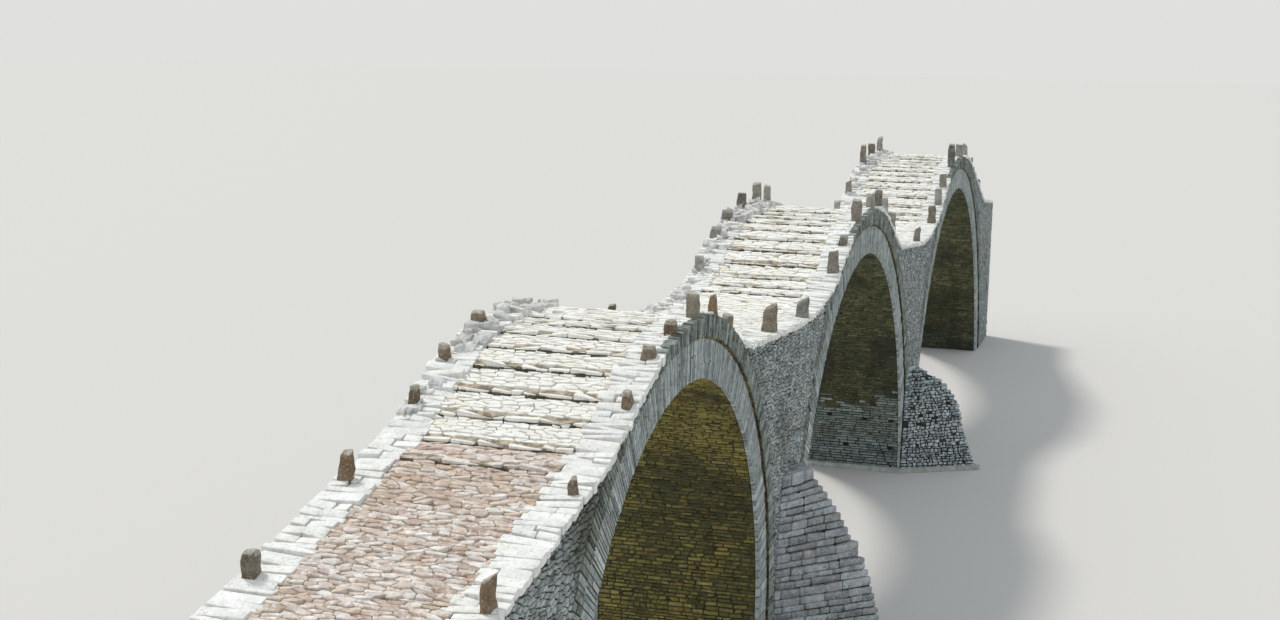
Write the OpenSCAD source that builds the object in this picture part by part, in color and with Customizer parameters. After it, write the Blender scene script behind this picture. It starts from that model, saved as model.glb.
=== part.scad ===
// Three-arched stone footbridge with pointed cutwaters, at half its real size.
// It stands on z = 0, the level at which its piers meet the water and its ends
// meet the ground. X runs along the bridge, Y across it, and the origin lies
// at the middle of its length and its width.

/* [Deck] */
// Width of the bridge between its two faces
deck_w = 1575; // [1200:1:2000]
// Thickness of the paving
paving_t = 60; // [40:1:80]
// Width of the edge stones
kerb_w = 255; // [180:1:300]
// Height of one step rib
riser_h = 26; // [10:1:60]
// Open joint between neighbouring stones
joint_gap = 5; // [3:1:10]
// Least thickness of the outer ring where the deck cuts it
least_ring = 12; // [8:1:20]
// Height of the deck at the near end
near_end_h = 2545; // [2300:5:2700]
// Height of the deck over the first pier
valley_one_h = 3225; // [3100:5:3300]
// Height of the deck over the second pier
valley_two_h = 3080; // [2950:5:3150]
// Height of the deck at the far end
far_end_h = 2760; // [2600:5:2850]
// Level stretch over the first pier, measured from the pier's far face
valley_one_l = 440; // [300:5:600]
// Level stretch over the second pier, measured from the pier's far face
valley_two_l = 900; // [700:5:1100]
// Foot of the first flight, measured from the springing of the near arch
flight_one_foot = 460; // [300:5:600]
// Foot of the second flight, measured from the far springing of the near arch
flight_two_foot = 570; // [400:5:700]
// Foot of the third flight, measured from the springing of the middle arch
flight_three_foot = 1030; // [900:5:1200]
// Foot of the fourth flight, measured from the far springing of the middle arch
flight_four_foot = 790; // [600:5:900]
// Foot of the fifth flight, measured from the springing of the far arch
flight_five_foot = 1710; // [1500:5:1900]
// Foot of the last flight, measured past the far springing of the far arch
flight_six_foot = 90; // [0:5:200]

/* [Layout] */
// Length of the near abutment at its foot
near_abutment_l = 2620; // [2300:5:3000]
// Thickness of the first pier at its foot
pier_one_l = 1550; // [1400:5:1800]
// Thickness of the second pier at its foot
pier_two_l = 1150; // [1120:5:1400]
// Length of the far abutment at its foot
far_abutment_l = 1890; // [1700:5:2300]

/* [Near arch] */
// Height of the centre of the near arch
arch_one_z = 890; // [700:5:1000]
// Radius of its soffit
arch_one_r = 2525; // [2300:5:2800]
// Depth of its inner ring
inner_ring_one = 305; // [250:5:340]
// Depth of its outer ring
outer_ring_one = 180; // [150:5:210]
// Masonry and paving over the crown of its soffit
crown_one_t = 380; // [350:5:500]

/* [Middle arch] */
// Height of the centre of the middle arch
arch_two_z = -40; // [-200:5:-10]
// Radius of its soffit
arch_two_r = 3510; // [3200:5:3900]
// Depth of its inner ring
inner_ring_two = 325; // [270:5:360]
// Depth of its outer ring
outer_ring_two = 195; // [160:5:220]
// Masonry and paving over the crown of its soffit
crown_two_t = 420; // [390:5:560]

/* [Far arch] */
// Height of the centre of the far arch
arch_three_z = -935; // [-1100:5:-800]
// Radius of its soffit
arch_three_r = 4460; // [4100:5:4900]
// Depth of its inner ring
inner_ring_three = 330; // [270:5:360]
// Depth of its outer ring
outer_ring_three = 195; // [160:5:220]
// Masonry and paving over the crown of its soffit
crown_three_t = 460; // [420:5:540]

/* [Masonry] */
// How far the inner rings are set back from the faces
ring_recess = 20; // [8:1:40]
// Height at which the rings spring from the piers
spring_h = 400; // [250:5:600]
// Thickness of the spandrel walls
spandrel_t = 260; // [150:5:400]
// Top of the abutments
abutment_h = 900; // [600:5:1300]
// Top of the first pier
pier_one_h = 1900; // [1500:5:2100]
// Top of the second pier
pier_two_h = 1400; // [1100:5:1600]
// How far the footing course of the second pier stands out
footing_out = 45; // [20:1:80]

/* [Cutwaters] */
// Height of one course of a cutwater
course_h = 64; // [50:1:90]
// How far each course of the first cutwater's body steps back from the one below
setback_one = 17; // [10:1:24]
// How far each course of the second cutwater's body steps back
setback_two = 24; // [12:1:30]
// Reach of the first cutwater at its foot
cutwater_one_reach = 1030; // [800:5:1200]
// Courses in its body
body_one_courses = 14; // [8:1:18]
// Courses in its cap
cap_one_courses = 19; // [12:1:20]
// Fullness of its cap, 0 for a straight slope
cap_one_fullness = 0.22; // [0:0.01:0.9]
// Reach of the second cutwater at its foot
cutwater_two_reach = 955; // [700:5:1100]
// Courses in its body
body_two_courses = 10; // [6:1:13]
// Courses in its cap
cap_two_courses = 12; // [8:1:14]
// Fullness of its cap, 0 for a straight slope
cap_two_fullness = 0.85; // [0:0.01:0.9]

/* [Guard stones] */
// Thickness of a guard stone across the bridge
guard_t = 75; // [60:1:110]
// Distance of a guard stone from the face
guard_inset = 30; // [10:1:60]

/* [Hidden] */
$fn = 360;

limestone = [0.62, 0.63, 0.62];
pale_stone = [0.86, 0.84, 0.78];
brown_stone = [0.55, 0.47, 0.38];
soffit_stone = [0.42, 0.38, 0.29];
cutwater_stone = [0.52, 0.51, 0.54];

half_w = deck_w/2;
far_off = 40000;                       // past every piece, for cutting shapes

// Layout along the bridge: half the span of each arch at z = 0, then the faces
// of the piers at their feet
function half_span(r, z) = z > 0 ? r : sqrt(r*r - z*z);
span_one = half_span(arch_one_r, arch_one_z);
span_two = half_span(arch_two_r, arch_two_z);
span_three = half_span(arch_three_r, arch_three_z);
length = near_abutment_l + 2*span_one + pier_one_l + 2*span_two + pier_two_l + 2*span_three
  + far_abutment_l;
near_end_x = -length/2;
far_end_x = length/2;
arch_one_x = near_end_x + near_abutment_l + span_one;
pier_one_x = arch_one_x + span_one;
arch_two_x = pier_one_x + pier_one_l + span_two;
pier_two_x = arch_two_x + span_two;
arch_three_x = pier_two_x + pier_two_l + span_three;

// Arches: [x, z, soffit radius, radius over the inner ring, radius over the outer ring]
function arch(x, z, r, inner, outer) = [x, z, r, r + inner, r + inner + outer];
arch_one = arch(arch_one_x, arch_one_z, arch_one_r, inner_ring_one, outer_ring_one);
arch_two = arch(arch_two_x, arch_two_z, arch_two_r, inner_ring_two, outer_ring_two);
arch_three = arch(arch_three_x, arch_three_z, arch_three_r, inner_ring_three, outer_ring_three);
arches = [arch_one, arch_two, arch_three];
function circle_z(a, r, x) = abs(x - a[0]) < r ? a[1] + sqrt(r*r - pow(x - a[0], 2)) : 0;

// Humps of the deck: [crest x, crest z, and on the near and the far side the
// radius of the crest's arc and the slope that it runs out into]
function hump(a, shift, over, near_r, near_slope, far_r, far_slope) =
  [a[0] + shift, a[1] + a[2] + over, a[2] + near_r, near_slope, a[2] + far_r, far_slope];
humps = [
  hump(arch_one, 405, crown_one_t, 2275, 0.43, -1025, 0.38),
  hump(arch_two, 520, crown_two_t, 2690, 0.50, -610, 0.42),
  hump(arch_three, 600, crown_three_t, 1140, 0.50, 40, 0.345)
];
// Drop of a hump at the distance d from its crest: an arc, then its tangent
function hump_drop(d, r, slope) =
  let (turn = atan(slope), arc_end = r*sin(turn))
  d < arc_end ? r - sqrt(r*r - d*d) : r*(1 - cos(turn)) + slope*(d - arc_end);
function hump_z(h, x) = x < h[0] ? h[1] - hump_drop(h[0] - x, h[2], h[3])
                                 : h[1] - hump_drop(x - h[0], h[4], h[5]);

// Straight stretches: [first x, last x, x and z of a point on it, slope]
runs = [
  [near_end_x, arch_one_x, near_end_x, near_end_h, 0.22],
  [arch_one_x, arch_two_x, pier_one_x + pier_one_l, valley_one_h, -0.064],
  [arch_one_x, arch_two_x, pier_one_x + pier_one_l + valley_one_l, valley_one_h, 0.12],
  [arch_two_x, arch_three_x, pier_two_x + pier_two_l, valley_two_h, -0.088],
  [arch_two_x, arch_three_x, pier_two_x + pier_two_l, valley_two_h, 0],
  [arch_two_x, arch_three_x, pier_two_x + pier_two_l + valley_two_l, valley_two_h, 0.2],
  [arch_three_x, far_end_x, far_end_x, far_end_h, -0.1]
];
function deck_z(x) = max(concat(
  [for (h = humps) hump_z(h, x)],
  [for (r = runs) if (x >= r[0] && x <= r[1]) r[3] + r[4]*(x - r[2])],
  [for (a = arches) circle_z(a, a[3], x) + least_ring + paving_t]));

// Sections of the deck: their ends, with the height over the deck of the front
// and of the back edge stones, then the number of stones along each section and
// the side its ribs face
section_ends = [
  [near_end_x, 12, 12], [arch_one_x - arch_one_r + flight_one_foot, 12, 20],
  [humps[0][0], 70, 50], [arch_one_x + arch_one_r - flight_two_foot, 12, 24],
  [arch_two_x - arch_two_r + flight_three_foot, 12, 24], [humps[1][0], 78, 64],
  [arch_two_x + arch_two_r - flight_four_foot, 12, 24],
  [arch_three_x - arch_three_r + flight_five_foot, 12, 24], [humps[2][0], 45, 42],
  [arch_three_x + arch_three_r + flight_six_foot, 12, 20], [far_end_x, 12, 12]
];
section_kinds = [[6, 0], [9, 1], [6, -1], [6, 0], [11, 1], [8, -1], [7, 0], [13, 1], [13, -1], [3, 0]];
function stone_x(i, k) = section_ends[i][0]
  + (section_ends[i + 1][0] - section_ends[i][0])*k/section_kinds[i][0];
last_section = len(section_kinds) - 1;
stations = concat([for (i = [0:last_section], k = [0:section_kinds[i][0] - 1]) stone_x(i, k)],
                  [far_end_x]);
deck_line = [for (x = stations) [x, deck_z(x)]];
// Rise of the edge stones over the deck, on the front (1) or the back (2)
function rise_at(x, side) = lookup(x, [for (e = section_ends) [e[0], e[side]]]);
function deck_at(x) = lookup(x, deck_line);
function core_at(x) = deck_at(x) - paving_t;
function kerb_at(x, side) = lookup(x, [for (x = stations) [x, deck_z(x) + rise_at(x, side)]]);

// Guard stones of each hump: [distance from the arch's centre, length, height, lean]
guards_front = [
  [[-3620, 100, 200, 0], [-2320, 80, 175, 40], [-1283, 110, 95, 0], [-738, 95, 120, 0],
   [-302, 85, 130, 0], [284, 85, 150, 20], [861, 85, 115, 0], [1341, 80, 110, 0],
   [2953, 100, 245, 30]],
  [[-3271, 120, 205, 0], [-1750, 90, 235, 0], [-1185, 110, 105, 0], [-442, 105, 260, 30],
   [500, 95, 150, 0], [1080, 95, 195, 40], [1480, 90, 125, 0], [2149, 95, 200, 0]],
  [[-4340, 95, 225, 0], [-2800, 95, 260, 0], [-2100, 95, 230, 0], [-1600, 95, 200, 0],
   [-630, 110, 390, 30], [430, 105, 215, 0], [1290, 105, 250, 30], [2290, 95, 220, 0],
   [3681, 105, 240, 0]]
];
guards_back = [
  [[-3554, 120, 145, 0], [-2418, 85, 190, 30], [-1435, 85, 115, 0], [-950, 85, 105, 0],
   [-344, 95, 110, 20], [2755, 100, 175, 0]],
  [[-1845, 95, 140, 0], [-1160, 110, 115, 0], [-680, 95, 135, 0], [0, 95, 200, 0],
   [760, 105, 250, 20], [1330, 95, 300, 0], [4570, 105, 200, 0]],
  [[-2850, 95, 280, 0], [-1930, 95, 200, 0], [-660, 120, 330, 30], [150, 95, 210, 0],
   [1000, 105, 290, 60], [2290, 105, 220, 0], [3681, 105, 240, 0]]
];

// Carries an outline in X and Z across the bridge from y0 to y1
module across(y0, y1) translate([0, y1, 0]) rotate([90, 0, 0]) linear_extrude(y1 - y0) children();
module to_back() mirror([0, 1, 0]) children();
module strip(x0, x1, z0, z1) translate([x0, z0]) square([x1 - x0, z1 - z0]);

// Outline under the paving
module core_outline() polygon(concat([[near_end_x, 0]], [for (x = stations) [x, core_at(x)]],
                                     [[far_end_x, 0]]));

// Outline of an arch of the radius r, with upright legs where its centre stands high
module arch_outline(a, r) {
  translate([a[0], a[1]]) circle(r);
  if (a[1] > 0) translate([a[0] - r, -1]) square([2*r, a[1] + 1]);
}
module all_soffits() for (a = arches) arch_outline(a, a[2]);
module all_inner_rings() for (a = arches) arch_outline(a, a[3]);
module all_outer_rings() for (a = arches) arch_outline(a, a[4]);

// Inner ring of an arch, which runs through as its barrel
module vault(a) color(soffit_stone) across(ring_recess - half_w, half_w - ring_recess)
  difference() {
    intersection() {
      arch_outline(a, a[3]);
      strip(-far_off, far_off, spring_h, far_off);
    }
    arch_outline(a, a[2]);
  }

// Outer ring of an arch, which takes in all the masonry over the crown. The
// crown ends at the stations where the deck lies clear above the ring.
tip_t = 10;                            // least thickness of a spandrel at its tip
function is_clear(a, x) = core_at(x) > circle_z(a, a[4], x) + tip_t;
function crown_from(a) = max([for (x = stations) if (x < a[0] && is_clear(a, x)) x]);
function crown_to(a) = min([for (x = stations) if (x > a[0] && is_clear(a, x)) x]);
module outer_ring(a) color(limestone) across(-half_w, half_w) difference() {
  intersection() {
    core_outline();
    strip(-far_off, far_off, spring_h, far_off);
    union() {
      arch_outline(a, a[4]);
      strip(crown_from(a), crown_to(a), a[1], far_off);
    }
  }
  arch_outline(a, a[3]);
}

// Foot of the masonry between x0 and x1, up to top: it carries the rings at
// the springing and stands between them above it
module foot_outline(x0, x1, top) difference() {
  intersection() {
    core_outline();
    strip(x0, x1, 0, top);
  }
  all_soffits();
  intersection() {
    all_outer_rings();
    strip(-far_off, far_off, spring_h, far_off);
  }
}
module foot(x0, x1, top) color(limestone) difference() {
  across(-half_w, half_w) foot_outline(x0, x1, top);
  ring_rebate();
  to_back() ring_rebate();
}
// Set-back of the inner rings in the front face, from the ground to the springing
module ring_rebate() across(-half_w - 1, ring_recess - half_w) intersection() {
  all_inner_rings();
  strip(-far_off, far_off, -1, spring_h);
}

// Spandrel masonry between x0 and x1, over the foot that ends at z0
module spandrel(x0, x1, z0, y0, y1) color(limestone) across(y0, y1) difference() {
  intersection() {
    core_outline();
    strip(x0, x1, z0, far_off);
  }
  all_outer_rings();
}
module spandrel_front(x0, x1, z0) spandrel(x0, x1, z0, -half_w, spandrel_t - half_w);
module spandrel_fill(x0, x1, z0) spandrel(x0, x1, z0, spandrel_t - half_w, half_w - spandrel_t);

module near_abutment() foot(near_end_x, arch_one_x, abutment_h);
module far_abutment() foot(arch_three_x, far_end_x, abutment_h);
module pier_one() foot(arch_one_x, arch_two_x, pier_one_h);
module pier_two() foot(arch_two_x, arch_three_x, pier_two_h);

// Reach of each course of a cutwater: the body leans back evenly and the cap
// closes on a curve
function reaches(foot_reach, setback, body, cap, fullness) = concat(
  [for (i = [0:body - 1]) foot_reach - i*setback],
  [for (j = [1:cap]) let (t = (j - 0.5)/cap)
    (foot_reach - (body - 1)*setback)*(1 - (1 - fullness)*t - fullness*t*t*t)]);
reach_one = reaches(cutwater_one_reach, setback_one, body_one_courses, cap_one_courses,
                    cap_one_fullness);
reach_two = reaches(cutwater_two_reach, setback_two, body_two_courses, cap_two_courses,
                    cap_two_fullness);

// Stack of triangular courses against the front face from x0 to x1
module courses(x0, x1, reach_at, first, count) {
  centre = (x0 + x1)/2;
  for (i = [first:first + count - 1]) {
    half = (x1 - x0)/2*sqrt(reach_at[i]/reach_at[0]);
    translate([centre, -half_w, i*course_h]) linear_extrude(course_h)
      polygon([[-half, 0], [0, -reach_at[i]], [half, 0]]);
  }
}
module body_one() color(cutwater_stone)
  courses(arch_one_x + arch_one[4], pier_one_x + pier_one_l, reach_one, 0, body_one_courses);
module cap_one() color(limestone)
  courses(arch_one_x + arch_one[4], pier_one_x + pier_one_l, reach_one, body_one_courses,
          cap_one_courses);
module body_two() color(cutwater_stone)
  courses(pier_two_x, pier_two_x + pier_two_l, reach_two, 0, body_two_courses);
module cap_two() color(limestone)
  courses(pier_two_x, pier_two_x + pier_two_l, reach_two, body_two_courses, cap_two_courses);

// Footing course round the second pier and its cutwaters
module footing_plan(out) {
  centre = pier_two_x + pier_two_l/2;
  half = pier_two_l/2 + out;
  tip = half_w + cutwater_two_reach*half/(pier_two_l/2);
  polygon([[centre - half, -half_w], [centre, -tip], [centre + half, -half_w],
           [centre + half, half_w], [centre, tip], [centre - half, half_w]]);
}
module pier_two_footing() color(cutwater_stone) difference() {
  linear_extrude(course_h) footing_plan(footing_out);
  translate([0, 0, -1]) linear_extrude(course_h + 2) footing_plan(0);
  across(-half_w, half_w) foot_outline(arch_two_x, arch_three_x, pier_two_h);
}

// Paving slabs of the sections first to last, each with its rib on the lower side
module paving(first, last) color(pale_stone)
  for (i = [first:last], k = [0:section_kinds[i][0] - 1]) {
    x0 = stone_x(i, k);
    x1 = stone_x(i, k + 1) - joint_gap;
    rib_side = section_kinds[i][1];
    across(kerb_w - half_w, half_w - kerb_w) polygon([
      [x0, core_at(x0)], [x0, deck_at(x0) + max(0, rib_side)*riser_h],
      [x1, deck_at(x1) + max(0, -rib_side)*riser_h], [x1, core_at(x1)]
    ]);
  }

// Edge stones of the sections first to last, laid along the front face
module kerb(first, last, side) color(pale_stone)
  for (i = [first:last], k = [0:section_kinds[i][0] - 1]) {
    x0 = stone_x(i, k);
    x1 = stone_x(i, k + 1) - joint_gap;
    across(-half_w, kerb_w - half_w) polygon([
      [x0, core_at(x0)], [x0, kerb_at(x0, side)], [x1, kerb_at(x1, side)], [x1, core_at(x1)]
    ]);
  }

// Upright guard stones along the front of one hump, standing on the edge stones
module guards(a, list, side) color(brown_stone) for (g = list) {
  x0 = a[0] + g[0] - g[1]/2;
  x1 = x0 + g[1];
  top = kerb_at((x0 + x1)/2, side) + g[2];
  batter = g[1]/16;
  across(guard_inset - half_w, guard_inset + guard_t - half_w) polygon(concat(
    [[x0, kerb_at(x0, side)], [x0 + batter, top - g[3]], [x1 - 2*batter, top], [x1, kerb_at(x1, side)]],
    [for (i = [len(stations) - 1:-1:0]) if (stations[i] > x0 && stations[i] < x1)
      [stations[i], kerb_at(stations[i], side)]]));
}
module guards_near(lists, side) guards(arch_one, lists[0], side);
module guards_far(lists, side) {
  guards(arch_two, lists[1], side);
  guards(arch_three, lists[2], side);
}

near_abutment();
far_abutment();
pier_one();
pier_two();
pier_two_footing();
body_one();  // cutwater_one_front
to_back() body_one();  // cutwater_one_back
body_two();  // cutwater_two_front
to_back() body_two();  // cutwater_two_back
cap_one();  // cap_one_front
to_back() cap_one();  // cap_one_back
cap_two();  // cap_two_front
to_back() cap_two();  // cap_two_back
vault(arch_one);  // arch_one_vault
vault(arch_two);  // arch_two_vault
vault(arch_three);  // arch_three_vault
outer_ring(arch_one);  // arch_one_outer_ring
outer_ring(arch_two);  // arch_two_outer_ring
outer_ring(arch_three);  // arch_three_outer_ring
spandrel_front(near_end_x, crown_from(arch_one), abutment_h);  // near_spandrel_front
spandrel_fill(near_end_x, crown_from(arch_one), abutment_h);  // near_spandrel_fill
to_back() spandrel_front(near_end_x, crown_from(arch_one), abutment_h);  // near_spandrel_back
spandrel_front(crown_to(arch_one), crown_from(arch_two), pier_one_h);  // pier_one_spandrel_front
spandrel_fill(crown_to(arch_one), crown_from(arch_two), pier_one_h);  // pier_one_spandrel_fill
to_back() spandrel_front(crown_to(arch_one), crown_from(arch_two), pier_one_h);  // pier_one_spandrel_back
spandrel_front(crown_to(arch_two), crown_from(arch_three), pier_two_h);  // pier_two_spandrel_front
spandrel_fill(crown_to(arch_two), crown_from(arch_three), pier_two_h);  // pier_two_spandrel_fill
to_back() spandrel_front(crown_to(arch_two), crown_from(arch_three), pier_two_h);  // pier_two_spandrel_back
spandrel_front(crown_to(arch_three), far_end_x, abutment_h);  // far_spandrel_front
spandrel_fill(crown_to(arch_three), far_end_x, abutment_h);  // far_spandrel_fill
to_back() spandrel_front(crown_to(arch_three), far_end_x, abutment_h);  // far_spandrel_back
paving(0, 2);  // paving_near
paving(3, 5);  // paving_middle
paving(6, last_section);  // paving_far
kerb(0, 2, 1);  // kerb_front_near
kerb(3, 5, 1);  // kerb_front_middle
kerb(6, last_section, 1);  // kerb_front_far
to_back() kerb(0, 2, 2);  // kerb_back_near
to_back() kerb(3, 5, 2);  // kerb_back_middle
to_back() kerb(6, last_section, 2);  // kerb_back_far
guards_near(guards_front, 1);  // guards_front_near
guards_far(guards_front, 1);  // guards_front_far
to_back() guards_near(guards_back, 2);  // guards_back_near
to_back() guards_far(guards_back, 2);  // guards_back_far
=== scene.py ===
# %% [markdown]
# # A three-arched stone footbridge, at half its real size
# The bridge is a narrow humped deck on three thin vaults of stone. Its solids
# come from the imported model, and most stay in place as the mortar and rubble
# core. This lesson lays the stones that show on that core, one closed solid
# each, because a wall reads as masonry only when every joint has real depth.
# Another way would be a bump map on the plain solids, but the edges of the
# arches and the stepped noses would stay straight and clean against the light.

# %% Load the solids
import bisect, bpy, math, random
import numpy as np
from collections import namedtuple
from mathutils import Matrix, Vector, noise


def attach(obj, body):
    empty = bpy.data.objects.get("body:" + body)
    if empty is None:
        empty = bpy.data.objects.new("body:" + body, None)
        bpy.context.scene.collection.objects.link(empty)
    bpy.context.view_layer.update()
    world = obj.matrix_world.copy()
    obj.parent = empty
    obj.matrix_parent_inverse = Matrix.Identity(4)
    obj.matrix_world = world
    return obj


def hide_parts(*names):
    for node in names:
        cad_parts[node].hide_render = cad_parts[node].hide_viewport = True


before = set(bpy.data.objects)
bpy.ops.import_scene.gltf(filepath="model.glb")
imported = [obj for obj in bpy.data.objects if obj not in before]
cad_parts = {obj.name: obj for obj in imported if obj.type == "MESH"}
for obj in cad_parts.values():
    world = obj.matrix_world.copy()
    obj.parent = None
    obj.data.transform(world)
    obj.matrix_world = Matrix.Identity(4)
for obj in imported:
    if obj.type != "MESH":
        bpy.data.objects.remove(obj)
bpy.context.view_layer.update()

# %% [markdown]
# ## The lines that the stones follow
# A mason works from a few lines: the face of the wall, the curve of each arch
# and the line of the deck. The deck's line is measured on the solids
# themselves, so that it can't drift from them. The arches are repeated here in
# metres, because a circle is easier to lay stones on than a mesh.

# %% Measure the deck and name the arches
HALF_W = .7875                 # from the middle to each face
RECESS = .020                  # the inner rings lie this far behind the faces
# centre x and z, then the radii of the soffit, the inner ring and the outer ring
Arch = namedtuple("Arch", "x z r inner outer")
ARCHES = {"one": Arch(-8.8557, .890, 2.525, 2.830, 3.010),
          "two": Arch(-1.2709, -.040, 3.510, 3.835, 4.030),
          "three": Arch(7.7498, -.935, 4.460, 4.790, 4.985)}
STRETCHES = ("near", "middle", "far")

def corners(node):
    """The corners of a solid's mesh as an array of rows x, y, z."""
    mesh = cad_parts[node].data
    flat = np.empty(len(mesh.vertices)*3)
    mesh.vertices.foreach_get("co", flat)
    return flat.reshape(-1, 3)

def outline_of(nodes):
    """Where the solids of these nodes begin and end along x, with their lowest and highest z there."""
    points = np.concatenate([corners(n) for n in nodes])
    xs = np.unique(points[:, 0].round(4))
    rows = [points[abs(points[:, 0] - x) < 6e-5, 2] for x in xs]
    return xs, np.array([r.min() for r in rows]), np.array([r.max() for r in rows])

deck_x, core_line, deck_line = outline_of(["paving_" + s for s in STRETCHES])
KERBS = {side: outline_of(["kerb_%s_%s" % (label, s) for s in STRETCHES])
         for label, side in (("front", -1), ("back", 1))}
KERB_W = HALF_W - corners("paving_near")[:, 1].max()
SLAB = .036                    # how thick the edge slabs are
NEAR_END, FAR_END = float(deck_x[0]), float(deck_x[-1])

def core_z(x):
    return float(np.interp(x, deck_x, core_line))

def deck_z(x):
    return float(np.interp(x, deck_x, deck_line))

def kerb_z(x, side):
    """The top of the edge stones of the front (-1) or the back (1)."""
    return float(np.interp(x, KERBS[side][0], KERBS[side][2]))

print("deck slabs", len(deck_x)//2, "edge stones", round(KERB_W, 3), "wide, ends", NEAR_END, FAR_END)

# %% [markdown]
# ## One stone
# A dressed stone is a flat outline with knocked-off corners, a rounded arris
# and a face that is never quite square to the wall. Modelling each by hand, or
# scattering copies of a few, would show repeats. Here an outline of a few
# points is turned into rings of points, one behind the wall face, one at the
# arris and one drawn in on the face, with a middle point. Every stone is
# closed at its back. Four numbers are kept on its points for the materials:
# tone and warmth are its own, stain is the place's, and edge marks the arris.
#
# Masons lay stones in two ways here. In courses each stone fills a cell between
# two level beds. In rubble nothing is level: seeds are strewn in loose rows, and
# each stone owns what lies nearest to its own seed, so that all joints meet.

# %% Outlines
def cell(u0, u1, v0, v1, rng, gap=.0035, rough=.005, chip=.012, lean=.004, small=.15):
    """The outline of a stone in its cell: drawn in by the joint, with chipped corners."""
    inset = [gap + rough*rng.random()**2 for _ in range(4)]
    u0, u1, v0, v1 = u0 + inset[0], u1 - inset[1], v0 + inset[2], v1 - inset[3]
    if u1 - u0 < .012 or v1 - v0 < .012:
        return None
    c = [min(chip, .3*(u1 - u0), .3*(v1 - v0))*rng.uniform(.25, 1) for _ in range(8)]
    s = rng.uniform(-lean, lean)
    if max(u1 - u0, v1 - v0) < small:      # small stones keep two of their corners
        return [(u0 + c[0] - s, v0), (u1 - c[1]*.4 - s, v0 + c[2]*.3), (u1 + s*.5, v1 - c[3]),
                (u1 - c[4] + s, v1), (u0 + c[5]*.4 + s, v1 - c[6]*.3), (u0 - s*.5, v0 + c[7])]
    return [(u0 + c[0] - s, v0), (u1 - c[1] - s, v0), (u1 - s*.5, v0 + c[2]), (u1 + s*.5, v1 - c[3]),
            (u1 - c[4] + s, v1), (u0 + c[5] + s, v1), (u0 + s*.5, v1 - c[6]), (u0 - s*.5, v0 + c[7])]

def cut(outline, a, b, limit):
    """The part of a convex outline where a*u + b*v <= limit, or None if little is left."""
    if outline is None:
        return None
    kept = []
    for p, q in zip(outline, outline[1:] + outline[:1]):
        dp, dq = a*p[0] + b*p[1] - limit, a*q[0] + b*q[1] - limit
        if dp <= 0:
            kept.append(p)
        if dp*dq < 0:
            t = dp/(dp - dq)
            kept.append((p[0] + t*(q[0] - p[0]), p[1] + t*(q[1] - p[1])))
    tidy = [p for p, q in zip(kept, kept[1:] + kept[:1]) if math.dist(p, q) > .003]
    if len(tidy) < 3:
        return None
    area = .5*sum(p[0]*q[1] - q[0]*p[1] for p, q in zip(tidy, tidy[1:] + tidy[:1]))
    return tidy if area > 4e-4 else None

def courses(u0, u1, v0, v1, height, length, rng, least=.03):
    """Cells of a coursed wall, with the joints broken from course to course."""
    v = v0
    while v < v1 - .3*height[0]:
        top = v + rng.uniform(*height)
        top = v1 if top > v1 - .5*height[0] else top
        u = u0 - rng.uniform(.1, 1)*length[0]
        while u < u1:
            end = u + rng.uniform(*length)
            if min(end, u1) - max(u, u0) > least:
                yield max(u, u0), min(end, u1), v, top
            u = end
        v = top

def scattered(u0, u1, v0, v1, depth, length, rng, wander=.30, gap=(.0010, .0036)):
    """Stones of no fixed shape in rows along v, longer along v: each owns what lies nearest to it."""
    rows = max(1, round((u1 - u0)/(.5*(depth[0] + depth[1]))))
    pitch, wide = (u1 - u0)/rows, .5*(length[0] + length[1])
    seeds, k = [], (wide/pitch)**2
    for row in range(-1, rows + 1):
        v, line = v0 - wide*(1 + rng.random()), []
        while v < v1 + wide:
            v += rng.uniform(*length)
            line.append((u0 + pitch*(row + .5 + rng.uniform(-wander, wander)), v))
        seeds.append(line)
    for row in range(1, rows + 1):
        for u, v in seeds[row]:
            a, b = max(v - wide, v0), min(v + wide, v1)
            if b - a < .03:
                continue
            shape = [(max(u - pitch, u0 + .001), a), (min(u + pitch, u1 - .001), a),
                     (min(u + pitch, u1 - .001), b), (max(u - pitch, u0 + .001), b)]
            joint = rng.uniform(*gap)
            for near in seeds[row - 1:row + 2]:
                first, last = (find(near, limit, key=along_v) for find, limit in (
                    (bisect.bisect_left, v - 2*wide), (bisect.bisect, v + 2*wide)))
                for p, q in near[first:last]:
                    if p != u or q != v:
                        across, along = (p - u)*k, q - v
                        far = math.hypot(across, along)
                        limit = .5*((p*p - u*u)*k + q*q - v*v)/far
                        shape = cut(shape, across/far, along/far, limit - joint)
            if shape:
                yield shape

def along_v(seed):
    return seed[1]

sample = cell(0, .20, 0, .08, random.Random(1))
print("a stone in a cell of 200 by 80 mm has", len(sample), "corners")

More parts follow.
